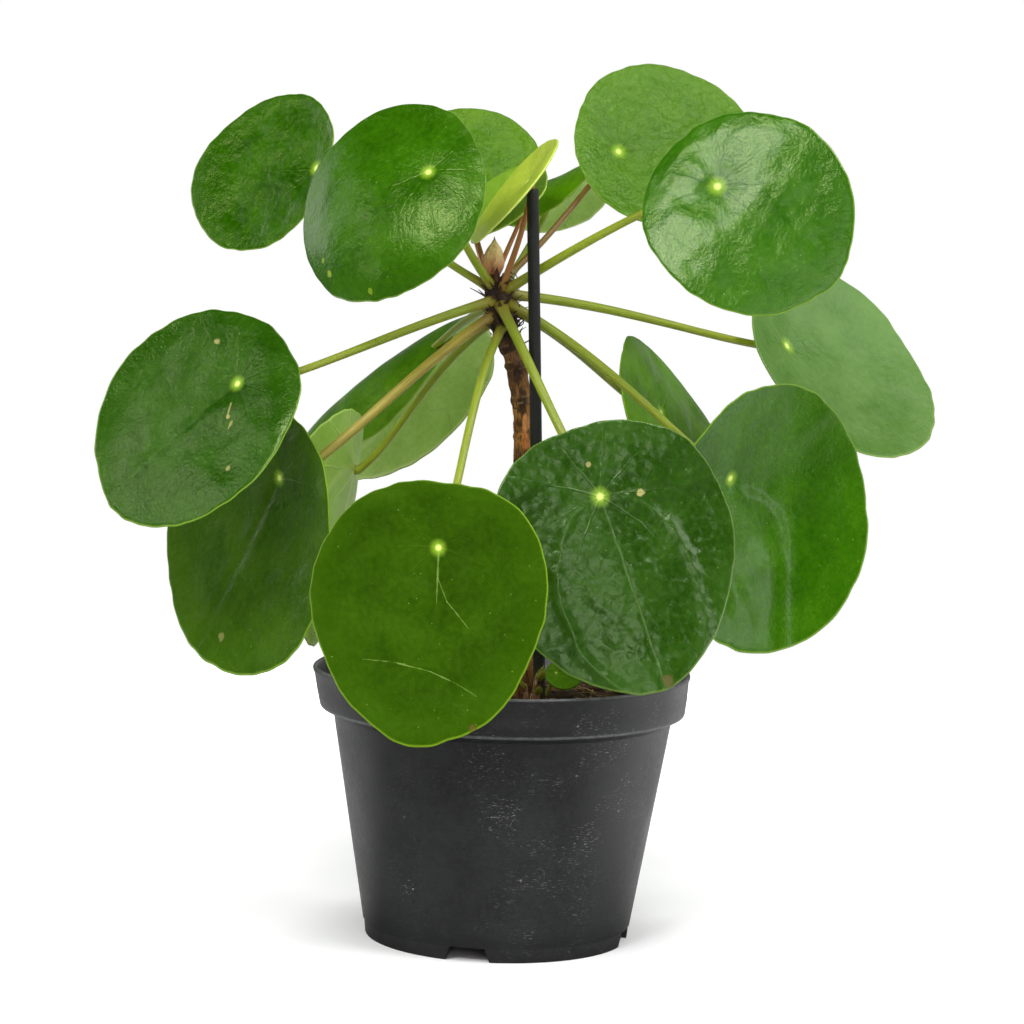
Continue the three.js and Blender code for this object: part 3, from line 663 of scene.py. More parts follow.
def bud_finish():
    """The bud's bracts: reddish at the base, cream and tan above, with dark dry tips."""
    material, shader, coordinates = new_material("bud_bracts")
    place = object_place(coordinates)
    height_up = parts_of(place)[2]
    cloud = use_group(MOTTLE, place, Broad_Scale=0.25, Fine_Scale=1.6)
    grain = noise_of(scaled(place, (2.4, 2.4, 0.4)), 1.0, 4.0)
    colour = mix_colour(cloud["Both"], (170, 136, 66), (230, 216, 152))
    colour = mix_colour(fade(grain, 0.4, 0.62, 0.4, 0.0), colour, (176, 128, 66))
    blush = fade(height_up, 214.5, 222, 0.9, 0.0) * fade(cloud["Fine"], 0.0, 0.8, 0.55, 1.0)
    colour = mix_colour(blush, colour, (172, 96, 60))
    colour = mix_colour(fade(height_up, 223.5, 225.3, 0.0, 0.9), colour, (58, 38, 22))
    surface(shader, colour, fade(cloud["Fine"], 0.0, 1.0, 0.42, 0.62), grain, 0.25)
    return material


def stalk_scale_finish(name, deep, pale, tip):
    """A thin young scale: pink at its foot, paler above, with fine lengthwise lines."""
    material, shader, coordinates = new_material(name)
    place = object_place(coordinates)
    cloud = use_group(MOTTLE, place, Broad_Scale=0.3, Fine_Scale=1.4)
    grain = noise_of(scaled(place, (2.6, 2.6, 0.5)), 1.0, 4.0)
    colour = mix_colour(fade(grain, 0.38, 0.62), deep, pale)
    colour = mix_colour(cloud["Broad"] * 0.35, colour, tip)
    surface(shader, colour, fade(cloud["Fine"], 0.0, 1.0, 0.4, 0.6), grain, 0.2)
    return material


# Placing

def mesh_of(name, shape):
    mesh = bpy.data.meshes.new(name)
    shape.to_mesh(mesh)
    shape.free()
    return mesh


def add_object(name, data):
    added = bpy.data.objects.new(name, data)
    bpy.context.scene.collection.objects.link(added)
    return added


def place_piece(name, shape, materials, slot, *nodes):
    """Makes a finished shape, worked out in millimetres, a piece of the part."""
    bmesh.ops.recalc_face_normals(shape, faces=shape.faces)
    bmesh.ops.scale(shape, vec=(MM, MM, MM), verts=shape.verts)
    piece = add_object(name, mesh_of(name, shape))
    for material in materials:
        piece.data.materials.append(material)
    piece.data.polygons.foreach_set("use_smooth", [True] * len(piece.data.polygons))
    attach(piece, "root")
    if nodes:
        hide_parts(*nodes)
    return piece


def spun(profile, steps):
    """Spins a profile of (radius, height) points that starts and ends on the axis into a closed body."""
    shape = bmesh.new()
    line = [shape.verts.new((radius, 0, height)) for radius, height in profile]
    edges = [shape.edges.new(pair) for pair in zip(line, line[1:])]
    bmesh.ops.spin(
        shape, geom=line + edges, cent=(0, 0, 0), axis=(0, 0, 1), angle=2 * math.pi, steps=steps,
        use_merge=True,
    )
    bmesh.ops.remove_doubles(shape, verts=shape.verts, dist=1e-4)
    bmesh.ops.recalc_face_normals(shape, faces=shape.faces)
    return shape


def smooth_line(points, count):
    """Evenly shared points on a smooth curve through the given ones."""
    points = [Vector(point) for point in points]
    ends = [points[0] * 2 - points[1]] + points + [points[-1] * 2 - points[-2]]
    line = []
    for step in range(count + 1):
        place = step / count * (len(points) - 1)
        first = min(int(place), len(points) - 2)
        share = place - first
        before, start, end, after = ends[first:first + 4]
        line.append(0.5 * (
            2 * start + (end - before) * share
            + (2 * before - 5 * start + 4 * end - after) * share ** 2
            + (3 * start - before - 3 * end + after) * share ** 3
        ))
    return line


def grow_tube(shape, line, radius_at, sides, scar_at=None):
    """Extrudes a ring along a line of points. wrap is the place round and along it, run its share."""
    run_layer = shape.verts.layers.float.get("run") or shape.verts.layers.float.new("run")
    wrap_layer = shape.verts.layers.float_vector.get("wrap") or shape.verts.layers.float_vector.new("wrap")
    scar_layer = shape.verts.layers.float.get("scar") or shape.verts.layers.float.new("scar")
    gone = [0.0]
    for start, end in zip(line, line[1:]):
        gone.append(gone[-1] + (end - start).length)
    whole = gone[-1]
    side = None
    face = None
    for step, centre in enumerate(line):
        before = line[max(step - 1, 0)]
        after = line[min(step + 1, len(line) - 1)]
        ahead = (after - before).normalized()
        if side is None:
            side = ahead.orthogonal().normalized()
        side = (side - ahead * side.dot(ahead)).normalized()
        third = ahead.cross(side)
        share = gone[step] / whole
        radius = radius_at(share, centre)
        if face is None:
            ring = bmesh.ops.create_circle(shape, cap_ends=True, segments=sides, radius=1)["verts"]
            face = ring[0].link_faces[0]
        else:
            grown = bmesh.ops.extrude_face_region(shape, geom=[face])["geom"]
            if step > 1 and face.is_valid:
                bmesh.ops.delete(shape, geom=[face], context="FACES_ONLY")
            face = next(item for item in grown if isinstance(item, bmesh.types.BMFace))
            ring = list(face.verts)
        for number, vert in enumerate(ring):
            turn = 2 * math.pi * number / sides
            spoke = side * math.cos(turn) + third * math.sin(turn)
            swell = radius(turn) if callable(radius) else radius
            vert.co = centre + spoke * swell
            vert[run_layer] = share
            vert[wrap_layer] = (math.cos(turn) * swell, math.sin(turn) * swell, gone[step])
            vert[scar_layer] = scar_at(centre.z) if scar_at else 0.0


# Pot

def rim_bulge(angle, height):
    turns = (angle - math.radians(RIM_BULGE_ANGLE)) / (2 * math.pi)
    away = (turns - round(turns)) * 360
    below = (POT_HEIGHT - height) / RIM_BULGE_DEPTH
    return RIM_BULGE * math.exp(-(away / RIM_BULGE_SPREAD) ** 2 - below ** 2)


def pot_profile():
    """The pot's section, from the middle of its underside round to the middle of its floor."""
    band_foot = POT_HEIGHT - BAND_HEIGHT
    step_foot = band_foot - BAND_STEP_HEIGHT
    foot_top = FOOT_BAND_HEIGHT + FOOT_BAND_STEP
    body_foot = FOOT_RADIUS + 2 * FOOT_BAND_STEP
    shares = [part / BODY_STEPS for part in range(BODY_STEPS + 1)]
    body = [(body_foot + (BODY_TOP_RADIUS - body_foot) * share, foot_top + (step_foot - foot_top) * share)
            for share in shares]
    # The tenths below round the corners of the moulding
    return [
        (0, 0), (PAD_RADIUS - 0.4, 0), (PAD_RADIUS, 0.2), (PAD_RADIUS + 1.5, FLOOR_UNDERSIDE),
        (FOOT_RADIUS - 2, FLOOR_UNDERSIDE), (FOOT_RADIUS - 1.5, 0.2), (FOOT_RADIUS - 1.2, 0),
        (FOOT_RADIUS - 0.25, 0), (FOOT_RADIUS, 0.3), (FOOT_RADIUS + FOOT_BAND_STEP, FOOT_BAND_HEIGHT - 0.2),
        (FOOT_RADIUS + FOOT_BAND_STEP + 0.05, FOOT_BAND_HEIGHT),
        *body,
        (BODY_TOP_RADIUS + 0.15, step_foot + 0.2), (BODY_TOP_RADIUS + 0.6, step_foot + 0.45),
        (BAND_FOOT_RADIUS - 0.7, band_foot - 0.4), (BAND_FOOT_RADIUS - 0.2, band_foot - 0.2),
        (BAND_FOOT_RADIUS, band_foot + 0.3), (BAND_FOOT_RADIUS + 0.5, band_foot + 5),
        (RIM_RADIUS - 0.45, POT_HEIGHT - 2.0), (RIM_RADIUS - 0.1, POT_HEIGHT - 1.2),
        (RIM_RADIUS, POT_HEIGHT - 0.6), (RIM_RADIUS - 0.15, POT_HEIGHT - 0.15), (RIM_RADIUS - 0.5, POT_HEIGHT),
        (RIM_RADIUS - WALL + 0.2, POT_HEIGHT), (RIM_RADIUS - WALL - 0.1, POT_HEIGHT - 0.4),
        (BAND_FOOT_RADIUS - WALL, band_foot + 1), (BAND_FOOT_RADIUS - WALL - 0.4, band_foot + 0.6),
        (BODY_TOP_RADIUS - WALL + 0.3, step_foot + 1), (BODY_TOP_RADIUS - WALL, step_foot + 0.6),
        (FOOT_RADIUS - WALL / 2 + 0.4, FLOOR_TOP + 1), (FOOT_RADIUS - WALL / 2 - 0.6, FLOOR_TOP), (0, FLOOR_TOP),
    ]


def add_notch_block(cutters, angle):
    """Adds the block that one drain notch takes out of the foot."""
    corners = [
        (-NOTCH_FOOT_WIDTH / 2, -1), (NOTCH_FOOT_WIDTH / 2, -1),
        (NOTCH_TOP_WIDTH / 2, NOTCH_HEIGHT), (-NOTCH_TOP_WIDTH / 2, NOTCH_HEIGHT),
    ]
    near = [cutters.verts.new((NOTCH_INNER_RADIUS, x, z)) for x, z in corners]
    grown = bmesh.ops.extrude_face_region(cutters, geom=[cutters.faces.new(near)])["geom"]
    far = [item for item in grown if isinstance(item, bmesh.types.BMVert)]
    bmesh.ops.translate(cutters, vec=(NOTCH_OUTER_RADIUS - NOTCH_INNER_RADIUS, 0, 0), verts=far)
    bmesh.ops.rotate(cutters, matrix=Matrix.Rotation(math.radians(angle), 3, "Z"), verts=near + far)


def make_pot():
    shape = spun(pot_profile(), POT_SIDES)
    for vert in shape.verts:
        radius = math.hypot(vert.co.x, vert.co.y)
        if radius > BODY_TOP_RADIUS:
            grown = 1 + rim_bulge(math.atan2(vert.co.y, vert.co.x), vert.co.z) / radius
            vert.co.x *= grown
            vert.co.y *= grown
    pot = place_piece("pot_shell", shape, [satin_plastic()], "pot_plastic", "pot")
    cutters = bmesh.new()
    for number in range(NOTCH_COUNT):
        add_notch_block(cutters, NOTCH_ANGLE + 360 / NOTCH_COUNT * number)
    bmesh.ops.recalc_face_normals(cutters, faces=cutters.faces)
    bmesh.ops.scale(cutters, vec=(MM, MM, MM), verts=cutters.verts)
    cutter = add_object("notch_blocks", mesh_of("notch_blocks", cutters))
    cut = pot.modifiers.new("drain notches", "BOOLEAN")
    cut.operation = "DIFFERENCE"
    cut.solver = "EXACT"
    cut.object = cutter
    bpy.context.view_layer.update()
    evaluated = pot.evaluated_get(bpy.context.evaluated_depsgraph_get())
    notched = bpy.data.meshes.new_from_object(evaluated)
    pot.modifiers.clear()
    pot.data = notched
    bpy.data.objects.remove(cutter)


# Peat

def inner_radius(height):
    step_foot = POT_HEIGHT - BAND_HEIGHT - BAND_STEP_HEIGHT + 0.8
    foot = FOOT_RADIUS - WALL / 2
    share = min((height - FLOOR_TOP) / (step_foot - FLOOR_TOP), 1)
    return foot + (BODY_TOP_RADIUS - WALL - foot) * share


def lump(x, y):
    coarse = math.sin(x / 5.1 + 1.3) * math.cos(y / 4.3 - 0.4)
    fine = math.sin(x / 1.9 - y / 2.7) * math.cos(y / 2.1 + x / 3.3)
    return SOIL_ROUGHNESS * (0.6 * coarse + 0.4 * fine)


def soil_height(x, y):
    share = math.hypot(x, y) / (inner_radius(SOIL_LEVEL) - CLEARANCE)
    crumbly = noise.fractal(Vector((x * 0.32, y * 0.32, 4.0)), 1.0, 2.1, 4)
    return SOIL_LEVEL + SOIL_CROWN * (1 - share) + lump(x, y) + 0.75 * crumbly


def make_soil():
    bottom = FLOOR_TOP + CLEARANCE
    edge = inner_radius(SOIL_LEVEL) - CLEARANCE
    top = [(edge * (1 - ring / SOIL_RINGS), SOIL_LEVEL) for ring in range(SOIL_RINGS + 1)]
    profile = [
        (0, bottom), (inner_radius(bottom) - CLEARANCE, bottom), (edge - 0.4, SOIL_LEVEL - 6),
        (edge, SOIL_LEVEL - 3), *top,
    ]
    shape = spun(profile, SOIL_SIDES)
    for vert in shape.verts:
        if vert.co.z > SOIL_LEVEL - 0.1:
            vert.co.z = soil_height(vert.co.x, vert.co.y)
    peat = peat_finish("dark_peat", (24, 15, 9), (80, 52, 32), (176, 134, 92))
    chips = peat_finish("bark_chips", (62, 38, 20), (116, 80, 48), (180, 144, 102))
    place_piece("peat_bed", shape, [peat], "peat", "soil")
    rng = random.Random(PEAT_SEED)
    make_crumbs(rng, edge, [peat, chips])
    make_root_fibres(rng, edge)
    make_sprout()


def place_on_peat(rng, reach):
    """A place on the peat's top, drawn evenly over a disc."""
    away = math.sqrt(rng.random()) * reach
    angle = rng.uniform(0, 2 * math.pi)
    return away * math.cos(angle), away * math.sin(angle)


def make_crumbs(rng, edge, finishes):
    crumbs = bmesh.new()
    for number in range(CRUMB_COUNT):
        x, y = place_on_peat(rng, edge * 0.97)
        size = rng.choice((0.5, 0.7, 0.9, 1.2, 1.6)) * rng.uniform(0.8, 1.2)
        grain = bmesh.ops.create_icosphere(crumbs, subdivisions=1, radius=size)["verts"]
        for vert in grain:
            vert.co *= 1 + 0.35 * noise.noise(vert.co * 1.1 + Vector((number * 3.1, 0, 0)))
            vert.co.z *= 0.7
        turn = Matrix.Rotation(rng.uniform(0, 6.28), 4, "Z") @ Matrix.Diagonal((rng.uniform(0.8, 1.7), 1, 1, 1))
        bmesh.ops.transform(crumbs, matrix=Matrix.Translation((x, y, soil_height(x, y) + size * 0.1)) @ turn,
                            verts=grain)
        dark = 0 if rng.random() < 0.6 else 1
        for face in {face for vert in grain for face in vert.link_faces}:
            face.material_index = dark
    place_piece("peat_crumbs", crumbs, finishes, "peat")


def make_root_fibres(rng, edge):
    fibres = bmesh.new()
    for number in range(ROOT_FIBRE_COUNT):
        x, y = place_on_peat(rng, edge * 0.9)
        heading = rng.uniform(0, 2 * math.pi)
        length = rng.uniform(5, 15)
        sway = rng.uniform(-0.9, 0.9)
        line = []
        for step in range(9):
            share = step / 8
            turn = heading + sway * (share - 0.5) * 2
            px = x + math.cos(turn) * length * (share - 0.5)
            py = y + math.sin(turn) * length * (share - 0.5)
            if math.hypot(px, py) > edge - 0.8:
                continue
            arc = math.sin(share * math.pi) * (0.7 + 0.6 * math.sin(number * 1.7))
            line.append(Vector((px, py, soil_height(px, py) - 0.1 + arc)))
        if len(line) > 4:
            thick = rng.uniform(0.12, 0.3)
            grow_tube(fibres, line, lambda share, centre, thick=thick: thick * (1 - 0.6 * share), 6)
    pale = dry_scale_finish("pale_root_fibre", (110, 76, 44), (200, 164, 118))
    place_piece("peat_fibres", fibres, [pale], "peat")


def make_sprout():
    """A pinkish new shoot beside the offset leaf, with folded yellow-green leaves no wider than a bean."""
    shoots = bmesh.new()
    for x, y, lean_x, lean_y, length, thick in SHOOTS:
        foot = Vector((x, y, soil_height(x, y) - 1.5))
        line = [foot + Vector((lean_x * share * share, lean_y * share, length * share))
                for share in (step / 12 for step in range(13))]
        grow_tube(shoots, line, lambda share, centre, thick=thick: thick * (1 - 0.35 * share), 12)
    pink = stalk_scale_finish("pink_shoot", (150, 88, 62), (208, 170, 140), (120, 70, 40))
    place_piece("soil_shoots", shoots, [pink], "young_stalk")
    leaflets = bmesh.new()
    for x, y, height, turn, length, wide, lean in LEAFLETS:
        grow_bract(leaflets, Vector((x, y, soil_height(x, y) + height)), turn, length, wide, 1.4, lean, 0.8)
    yellow = stalk_scale_finish("yellow_green_leaflet", (110, 118, 20), (166, 174, 60), (140, 120, 40))
    place_piece("soil_leaflets", leaflets, [yellow], "young_leaf")


# Stake

def make_stake():
    foot, top = Vector(STAKE_FOOT), Vector(STAKE_TOP)
    line = [foot.lerp(top, share) for share in (0, 0.03, 0.2, 0.4, 0.6, 0.8, 0.97)]
    length = (top - foot).length
    line += [top - (top - foot).normalized() * back for back in (0.7, 0.25, 0.0)]
    top_radii = {0.7: 1.0, 0.25: 0.94, 0.0: 0.72}

    def radius(share, centre):
        back = (1 - share) * length
        near = min(top_radii, key=lambda step: abs(step - back))
        return STAKE_RADIUS * (top_radii[near] if back < 1 else 1)

    shape = bmesh.new()
    grow_tube(shape, line, radius, STAKE_SIDES)
    place_piece("support_stake", shape, [stake_finish()], "stake_plastic", "stake")


# Stem

def scar_share(height):
    return max(math.exp(-((height - scar) / 1.1) ** 2) for scar in LEAF_SCAR_HEIGHTS)


def scar_shade(height):
    """How dark the bark is at a scar: some are fresh, most have healed over."""
    return max(share * math.exp(-((height - scar) / 1.3) ** 2)
               for scar, share in zip(LEAF_SCAR_HEIGHTS, SCAR_SHADES))


def stem_radius(height):
    swell = max(0.0, 1 - (height - SOIL_LEVEL) / 40) * (STEM_FOOT_RADIUS - STEM_RADIUS)
    crown = min(1.0, max(0.0, (height - CROWN_START) / 8))
    return STEM_RADIUS + min(swell, 0.4) + 0.5 * scar_share(height) + (CROWN_RADIUS - STEM_RADIUS) * crown


def stem_place(height):
    """The middle of the stem at a height."""
    for start, end in zip(STEM_ROUTE, STEM_ROUTE[1:]):
        if height <= end[2]:
            share = (height - start[2]) / (end[2] - start[2])
            return Vector(start).lerp(Vector(end), share)
    return Vector(STEM_ROUTE[-1])


def make_stem():
    line = smooth_line(STEM_ROUTE, STEM_STEPS)

    def radius(share, centre):
        def swell(turn):
            spot = Vector((math.cos(turn) * 1.6, math.sin(turn) * 1.6, centre.z * 0.22))
            rough = noise.fractal(spot, 1.0, 2.0, 4)
            closing = 1 - 0.35 * max(0.0, (centre.z - STEM_TOP + 1.5) / 1.5)
            knot = 0.9 * math.exp(-((centre.z - KNOT_HEIGHT) / 6) ** 2) * max(0.0, math.cos(turn))
            return (stem_radius(centre.z) + 0.4 * rough + knot) * closing
        return swell

    shape = bmesh.new()
    grow_tube(shape, line, radius, STEM_SIDES, scar_at=scar_shade)
    place_piece("woody_stem", shape, [bark_finish()], "bark", "stem")
    make_crown_scales()
    make_crown_curls()


def make_crown_scales():
    """Dry scales that overlap round the crown, each a thin pointed shell."""
    rng = random.Random(SCALE_SEED)
    scales = bmesh.new()
    for number in range(SCALE_COUNT):
        height = CROWN_START + 1 + (STEM_TOP - CROWN_START - 1.5) * number / SCALE_COUNT
        angle = number * GOLDEN_TURN + rng.uniform(-0.2, 0.2)
        length = rng.uniform(3.2, 6.2)
        width = rng.uniform(1.3, 2.4)
        sheet = bmesh.ops.create_grid(scales, x_segments=4, y_segments=6, size=1)["verts"]
        lean = rng.uniform(0.25, 0.9)
        curl = rng.uniform(0.4, 1.6)
        for vert in sheet:
            share = (vert.co.y + 1) / 2
            across = vert.co.x * width * 0.5 * (1 - share ** 2 * 0.96) * (0.7 + 0.6 * share * (1 - share) * 2)
            vert.co = Vector((
                across,
                -length * share * math.sin(lean) - curl * share ** 2,
                length * share * math.cos(lean) + 0.25 * across * across - 0.3 * curl * share,
            ))
        faces = list({face for vert in sheet for face in vert.link_faces})
        wall = bmesh.ops.solidify(scales, geom=faces, thickness=PAPER_THICKNESS)["geom"]
        grown = [item for item in wall if isinstance(item, bmesh.types.BMVert)]
        verts = list({*sheet, *grown})
        centre = stem_place(height)
        out = Vector((math.cos(angle), math.sin(angle), 0)) * (CROWN_RADIUS - 0.7)
        turn = Matrix.Rotation(angle + math.pi / 2, 4, "Z")
        bmesh.ops.transform(scales, matrix=Matrix.Translation(centre + out) @ turn, verts=verts)
    place_piece("crown_scales", scales, [dry_scale_finish("dry_crown_scale", (26, 12, 10), (86, 52, 34))], "bark")


def make_crown_curls():
    """Thin dried fibres that curl out of the crown and of the scars below it."""
    rng = random.Random(CURL_SEED)
    curls = bmesh.new()
    for number in range(CURL_COUNT):
        low = number % 4 == 3
        height = rng.choice((171, 176, 186, 190)) if low else rng.uniform(193, 211)
        angle = rng.uniform(-0.6, 0.5) if number < 6 else rng.uniform(0, 2 * math.pi)
        start = stem_place(height) + Vector((math.cos(angle), math.sin(angle), 0)) * (stem_radius(height) - 0.5)
        heading = Vector((math.cos(angle), math.sin(angle), rng.uniform(-0.3, 0.6))).normalized()
        side = heading.cross(Vector((0, 0, 1))).normalized()
        up = side.cross(heading)
        length = rng.uniform(2.5, 4) if low else rng.uniform(4, 8)
        coil = rng.uniform(1.2, 3.6)
        line = []
        for step in range(13):
            share = step / 12
            bend = coil * share * share
            line.append(start + (heading * math.cos(bend) + up * math.sin(bend) * 0.7
                                 + side * math.sin(bend * 1.4) * 0.35) * length * share)
        thick = rng.uniform(0.16, 0.32)
        grow_tube(curls, line, lambda share, centre, thick=thick: thick * (1 - 0.75 * share), 6)
    place_piece("crown_fibres", curls, [dry_scale_finish("dry_fibre", (20, 10, 8), (70, 42, 28))], "bark")


# Bud

def grow_bract(shape, base, turn, length, width, hug, lean, curl=0.0):
    """One pointed papery bract: a sheet rolled round the line it grows on, leant out and thickened."""
    sheet = bmesh.ops.create_grid(shape, x_segments=8, y_segments=12, size=1)["verts"]
    for vert in sheet:
        share = (vert.co.y + 1) / 2
        outline = math.sin(math.pi * (0.14 + 0.86 * share)) ** 0.75 if share < 1 else 0.0
        around = vert.co.x * width * 0.5 * (outline + 0.015) / hug
        out = hug * (0.62 + 0.62 * math.sin(math.pi * min(1.0, share * 1.05)) - 0.5 * share ** 3)
        vert.co = Vector((
            out * math.sin(around), -out * math.cos(around) - lean * length * share - curl * share ** 3,
            length * share - 0.3 * curl * share ** 3,
        ))
    faces = list({face for vert in sheet for face in vert.link_faces})
    wall = bmesh.ops.solidify(shape, geom=faces, thickness=PAPER_THICKNESS)["geom"]
    verts = list({*sheet, *(item for item in wall if isinstance(item, bmesh.types.BMVert))})
    place = Matrix.Translation(base) @ Matrix.Rotation(math.radians(turn), 4, "Z")
    bmesh.ops.transform(shape, matrix=place, verts=verts)


def make_bud():
    shape = spun([(0, 0), (BUD_RADIUS * 0.55, 0.2), (BUD_RADIUS * 0.82, BUD_HEIGHT * 0.3),
                  (BUD_RADIUS * 0.6, BUD_HEIGHT * 0.6), (0.5, BUD_HEIGHT * 0.88), (0, BUD_HEIGHT * 0.9)], 24)
    bmesh.ops.translate(shape, vec=BUD_BASE, verts=shape.verts)
    for turn, grow, wide, lean, curl in BRACTS:
        grow_bract(shape, Vector(BUD_BASE), turn, BUD_HEIGHT * grow, wide, BUD_RADIUS * 0.86, lean, curl)
    place_piece("tip_bud", shape, [bud_finish()], "bud_tissue", "bud")
    stipules = bmesh.new()
    for turn, length, wide, lean in STIPULES:
        grow_bract(stipules, Vector(BUD_BASE) + Vector((-1.2, 0.4, -1)), turn, length, wide, 1.5, lean, 0.5)
    pink = stalk_scale_finish("pink_stipule", (186, 112, 78), (228, 190, 160), (120, 84, 44))
    place_piece("young_stipules", stipules, [pink], "bud_tissue")


# Leaves

def blade_frame(leaf):
    facing, lift, turn = (math.radians(leaf[key]) for key in ("facing", "lift", "turn"))
    normal = Vector((math.sin(facing) * math.cos(lift), -math.cos(facing) * math.cos(lift), math.sin(lift)))
    downhill = (Vector((0, 0, -1)) + normal * normal.z).normalized()
    sideways = normal.cross(downhill)
    along = downhill * math.cos(turn) + sideways * math.sin(turn)
    return along, normal.cross(along), normal


def blade_edge(leaf, angle, phase):
    """The flat blade's edge at one angle round it, as distances along and across from the spot."""
    from_tip = angle - 2 * math.pi if angle > math.pi else angle
    tip = 0.025 * math.exp(-(from_tip / 0.25) ** 2)
    notch = leaf.get("notch", 0.02) * math.exp(-((angle - math.pi) / 0.28) ** 2)
    lobes = leaf["egg"] * math.cos(3 * angle) + leaf["skew"] * math.sin(3 * angle)
    wave = 0.005 * math.sin(5 * angle + phase) + 0.006 * math.sin(8 * angle + 2 * phase)
    scallop = 0.004 * math.sin(27 * angle + 3 * phase) * math.sin(5 * angle - phase)
    scallop += 0.009 * noise.noise(Vector((7 * math.cos(angle), 7 * math.sin(angle), phase)))
    reach = 1 + tip - notch + lobes + wave + scallop
    return (
        leaf["length"] * (0.5 - leaf["eye"] + 0.5 * reach * math.cos(angle)),
        leaf["width"] * 0.5 * reach * math.sin(angle),
    )


def blade_point(leaf, axes, along, across, phase):
    bend_across = leaf["across"] / 1000 + 1e-9
    bend_along = leaf["along"] / 1000 + 1e-9
    reach = math.hypot(along, across) / leaf["length"]
    ripple = 0.006 * leaf["length"] * reach * reach * math.sin(4 * math.atan2(across, along) + phase)
    fall = (1 - math.cos(across * bend_across)) / bend_across + (1 - math.cos(along * bend_along)) / bend_along
    tipward, sideward, normal = axes
    return (
        Vector(leaf["spot"]) + tipward * (math.sin(along * bend_along) / bend_along)
        + sideward * (math.sin(across * bend_across) / bend_across) + normal * (ripple - fall)
    )


def blade_relief(leaf, along, across, share, phase):
    """Small rises and dips of the blade: the dimple at the spot, soft undulation, folds."""
    reach = math.hypot(along, across)
    dimple = -0.35 * math.exp(-((reach / 2.2) ** 2)) - leaf.get("dimple", 0.8) * math.exp(-((reach / 9) ** 2))
    flat = Vector((along, across, phase * 7))
    swell = 0.9 * noise.noise(flat * 0.04) + 0.4 * noise.noise(flat * 0.11)
    calm = min(1.0, (1 - share) * 5)
    cells = leaf.get("quilt", 0.0) * noise.noise(flat * 0.24)
    bow = leaf.get("bow", 0.0)
    off_fold = across - bow * math.sin(math.pi * max(0.0, along) / 44) + bow * 0.0012 * max(0.0, along - 28) ** 2
    started = min(1.0, max(0.0, along) / 8)
    off_crease = off_fold + leaf.get("crease_off", 0.0)
    crease = -leaf.get("crease", 0.0) * math.exp(-((off_crease / leaf.get("soft", 1.8)) ** 2)) * started
    roof = leaf.get("roof", 0.0) * (6 - math.sqrt(off_fold * off_fold + 4)) * min(1.0, max(0.0, along + 10) / 20)
    up, right = leaf.get("tip_up", 0.0), leaf.get("tip_right", 0.0)
    turn = math.radians(leaf["turn"])
    down_part = along * math.cos(turn) - across * math.sin(turn)
    right_part = along * math.sin(turn) + across * math.cos(turn)
    lean = (up * down_part - right * right_part) * (1 - share ** 4)
    return dimple + (swell + cells) * calm + crease + roof + lean


def blade_shape(leaf, phase):
    """A closed thin disc spun round the spot, then laid to the blade's outline, bend and relief."""
    half = BLADE_THICKNESS / 2
    shares = [ring / BLADE_RINGS for ring in range(BLADE_RINGS)] + [0.985, 0.994]
    heights = [half] * BLADE_RINGS + [half * 0.86, half * 0.55]
    upper = list(zip(shares, heights))
    profile = upper + [(1.0, 0.0)] + [(share, -height) for share, height in reversed(upper)]
    shape = spun(profile, BLADE_SECTORS)
    edge_layer = shape.verts.layers.float.new("edge_share")
    plan = shape.loops.layers.uv.new("leaf_plan")
    for face in shape.faces:
        face.material_index = 0 if face.calc_center_median().z > -half * 0.4 else 1
    axes = blade_frame(leaf)
    step = 0.05
    flat_places = {}
    for vert in shape.verts:
        share = math.hypot(vert.co.x, vert.co.y)
        angle = math.atan2(vert.co.y, vert.co.x) % (2 * math.pi)
        height = vert.co.z
        along, across = (reach * share for reach in blade_edge(leaf, angle, phase))
        ahead = blade_point(leaf, axes, along + step, across, phase)
        behind = blade_point(leaf, axes, along - step, across, phase)
        left = blade_point(leaf, axes, along, across + step, phase)
        right = blade_point(leaf, axes, along, across - step, phase)
        normal = (ahead - behind).cross(left - right).normalized()
        rise = height + blade_relief(leaf, along, across, share, phase)
        vert.co = blade_point(leaf, axes, along, across, phase) + normal * rise
        vert[edge_layer] = share
        flat_places[vert.index] = (0.5 + along / PLAN_WIDTH, 0.5 + across / PLAN_WIDTH)
    shape.verts.index_update()
    for face in shape.faces:
        for loop in face.loops:
            loop[plan].uv = flat_places[loop.vert.index]
    return shape


def stalk_line(leaf, root, heading, sunk, steps, phase):
    """The stalk's curve from inside the crown into the middle of the blade."""
    normal = blade_frame(leaf)[2]
    end = Vector(leaf["spot"]) + normal * blade_relief(leaf, 0.0, 0.0, 0.0, phase)
    reach = (end - root).length
    rise = Vector((0, 0, leaf["arch"] * reach))
    straight = (end - root).normalized()
    start = (straight * 0.75 + heading * 0.25).normalized()
    origin = root - start * sunk
    leave = root + start * reach * 0.4 + rise
    arrive = end - straight * reach * 0.2 - normal * reach * 0.08 + rise
    finish = end - normal * 0.15
    end = end - normal * 1.3
    line = []
    for step in range(steps + 1):
        share = step / steps
        rest = 1 - share
        line.append(origin * rest ** 3 + leave * (3 * rest * rest * share)
                    + arrive * (3 * rest * share * share) + end * share ** 3)
    return line + [finish]


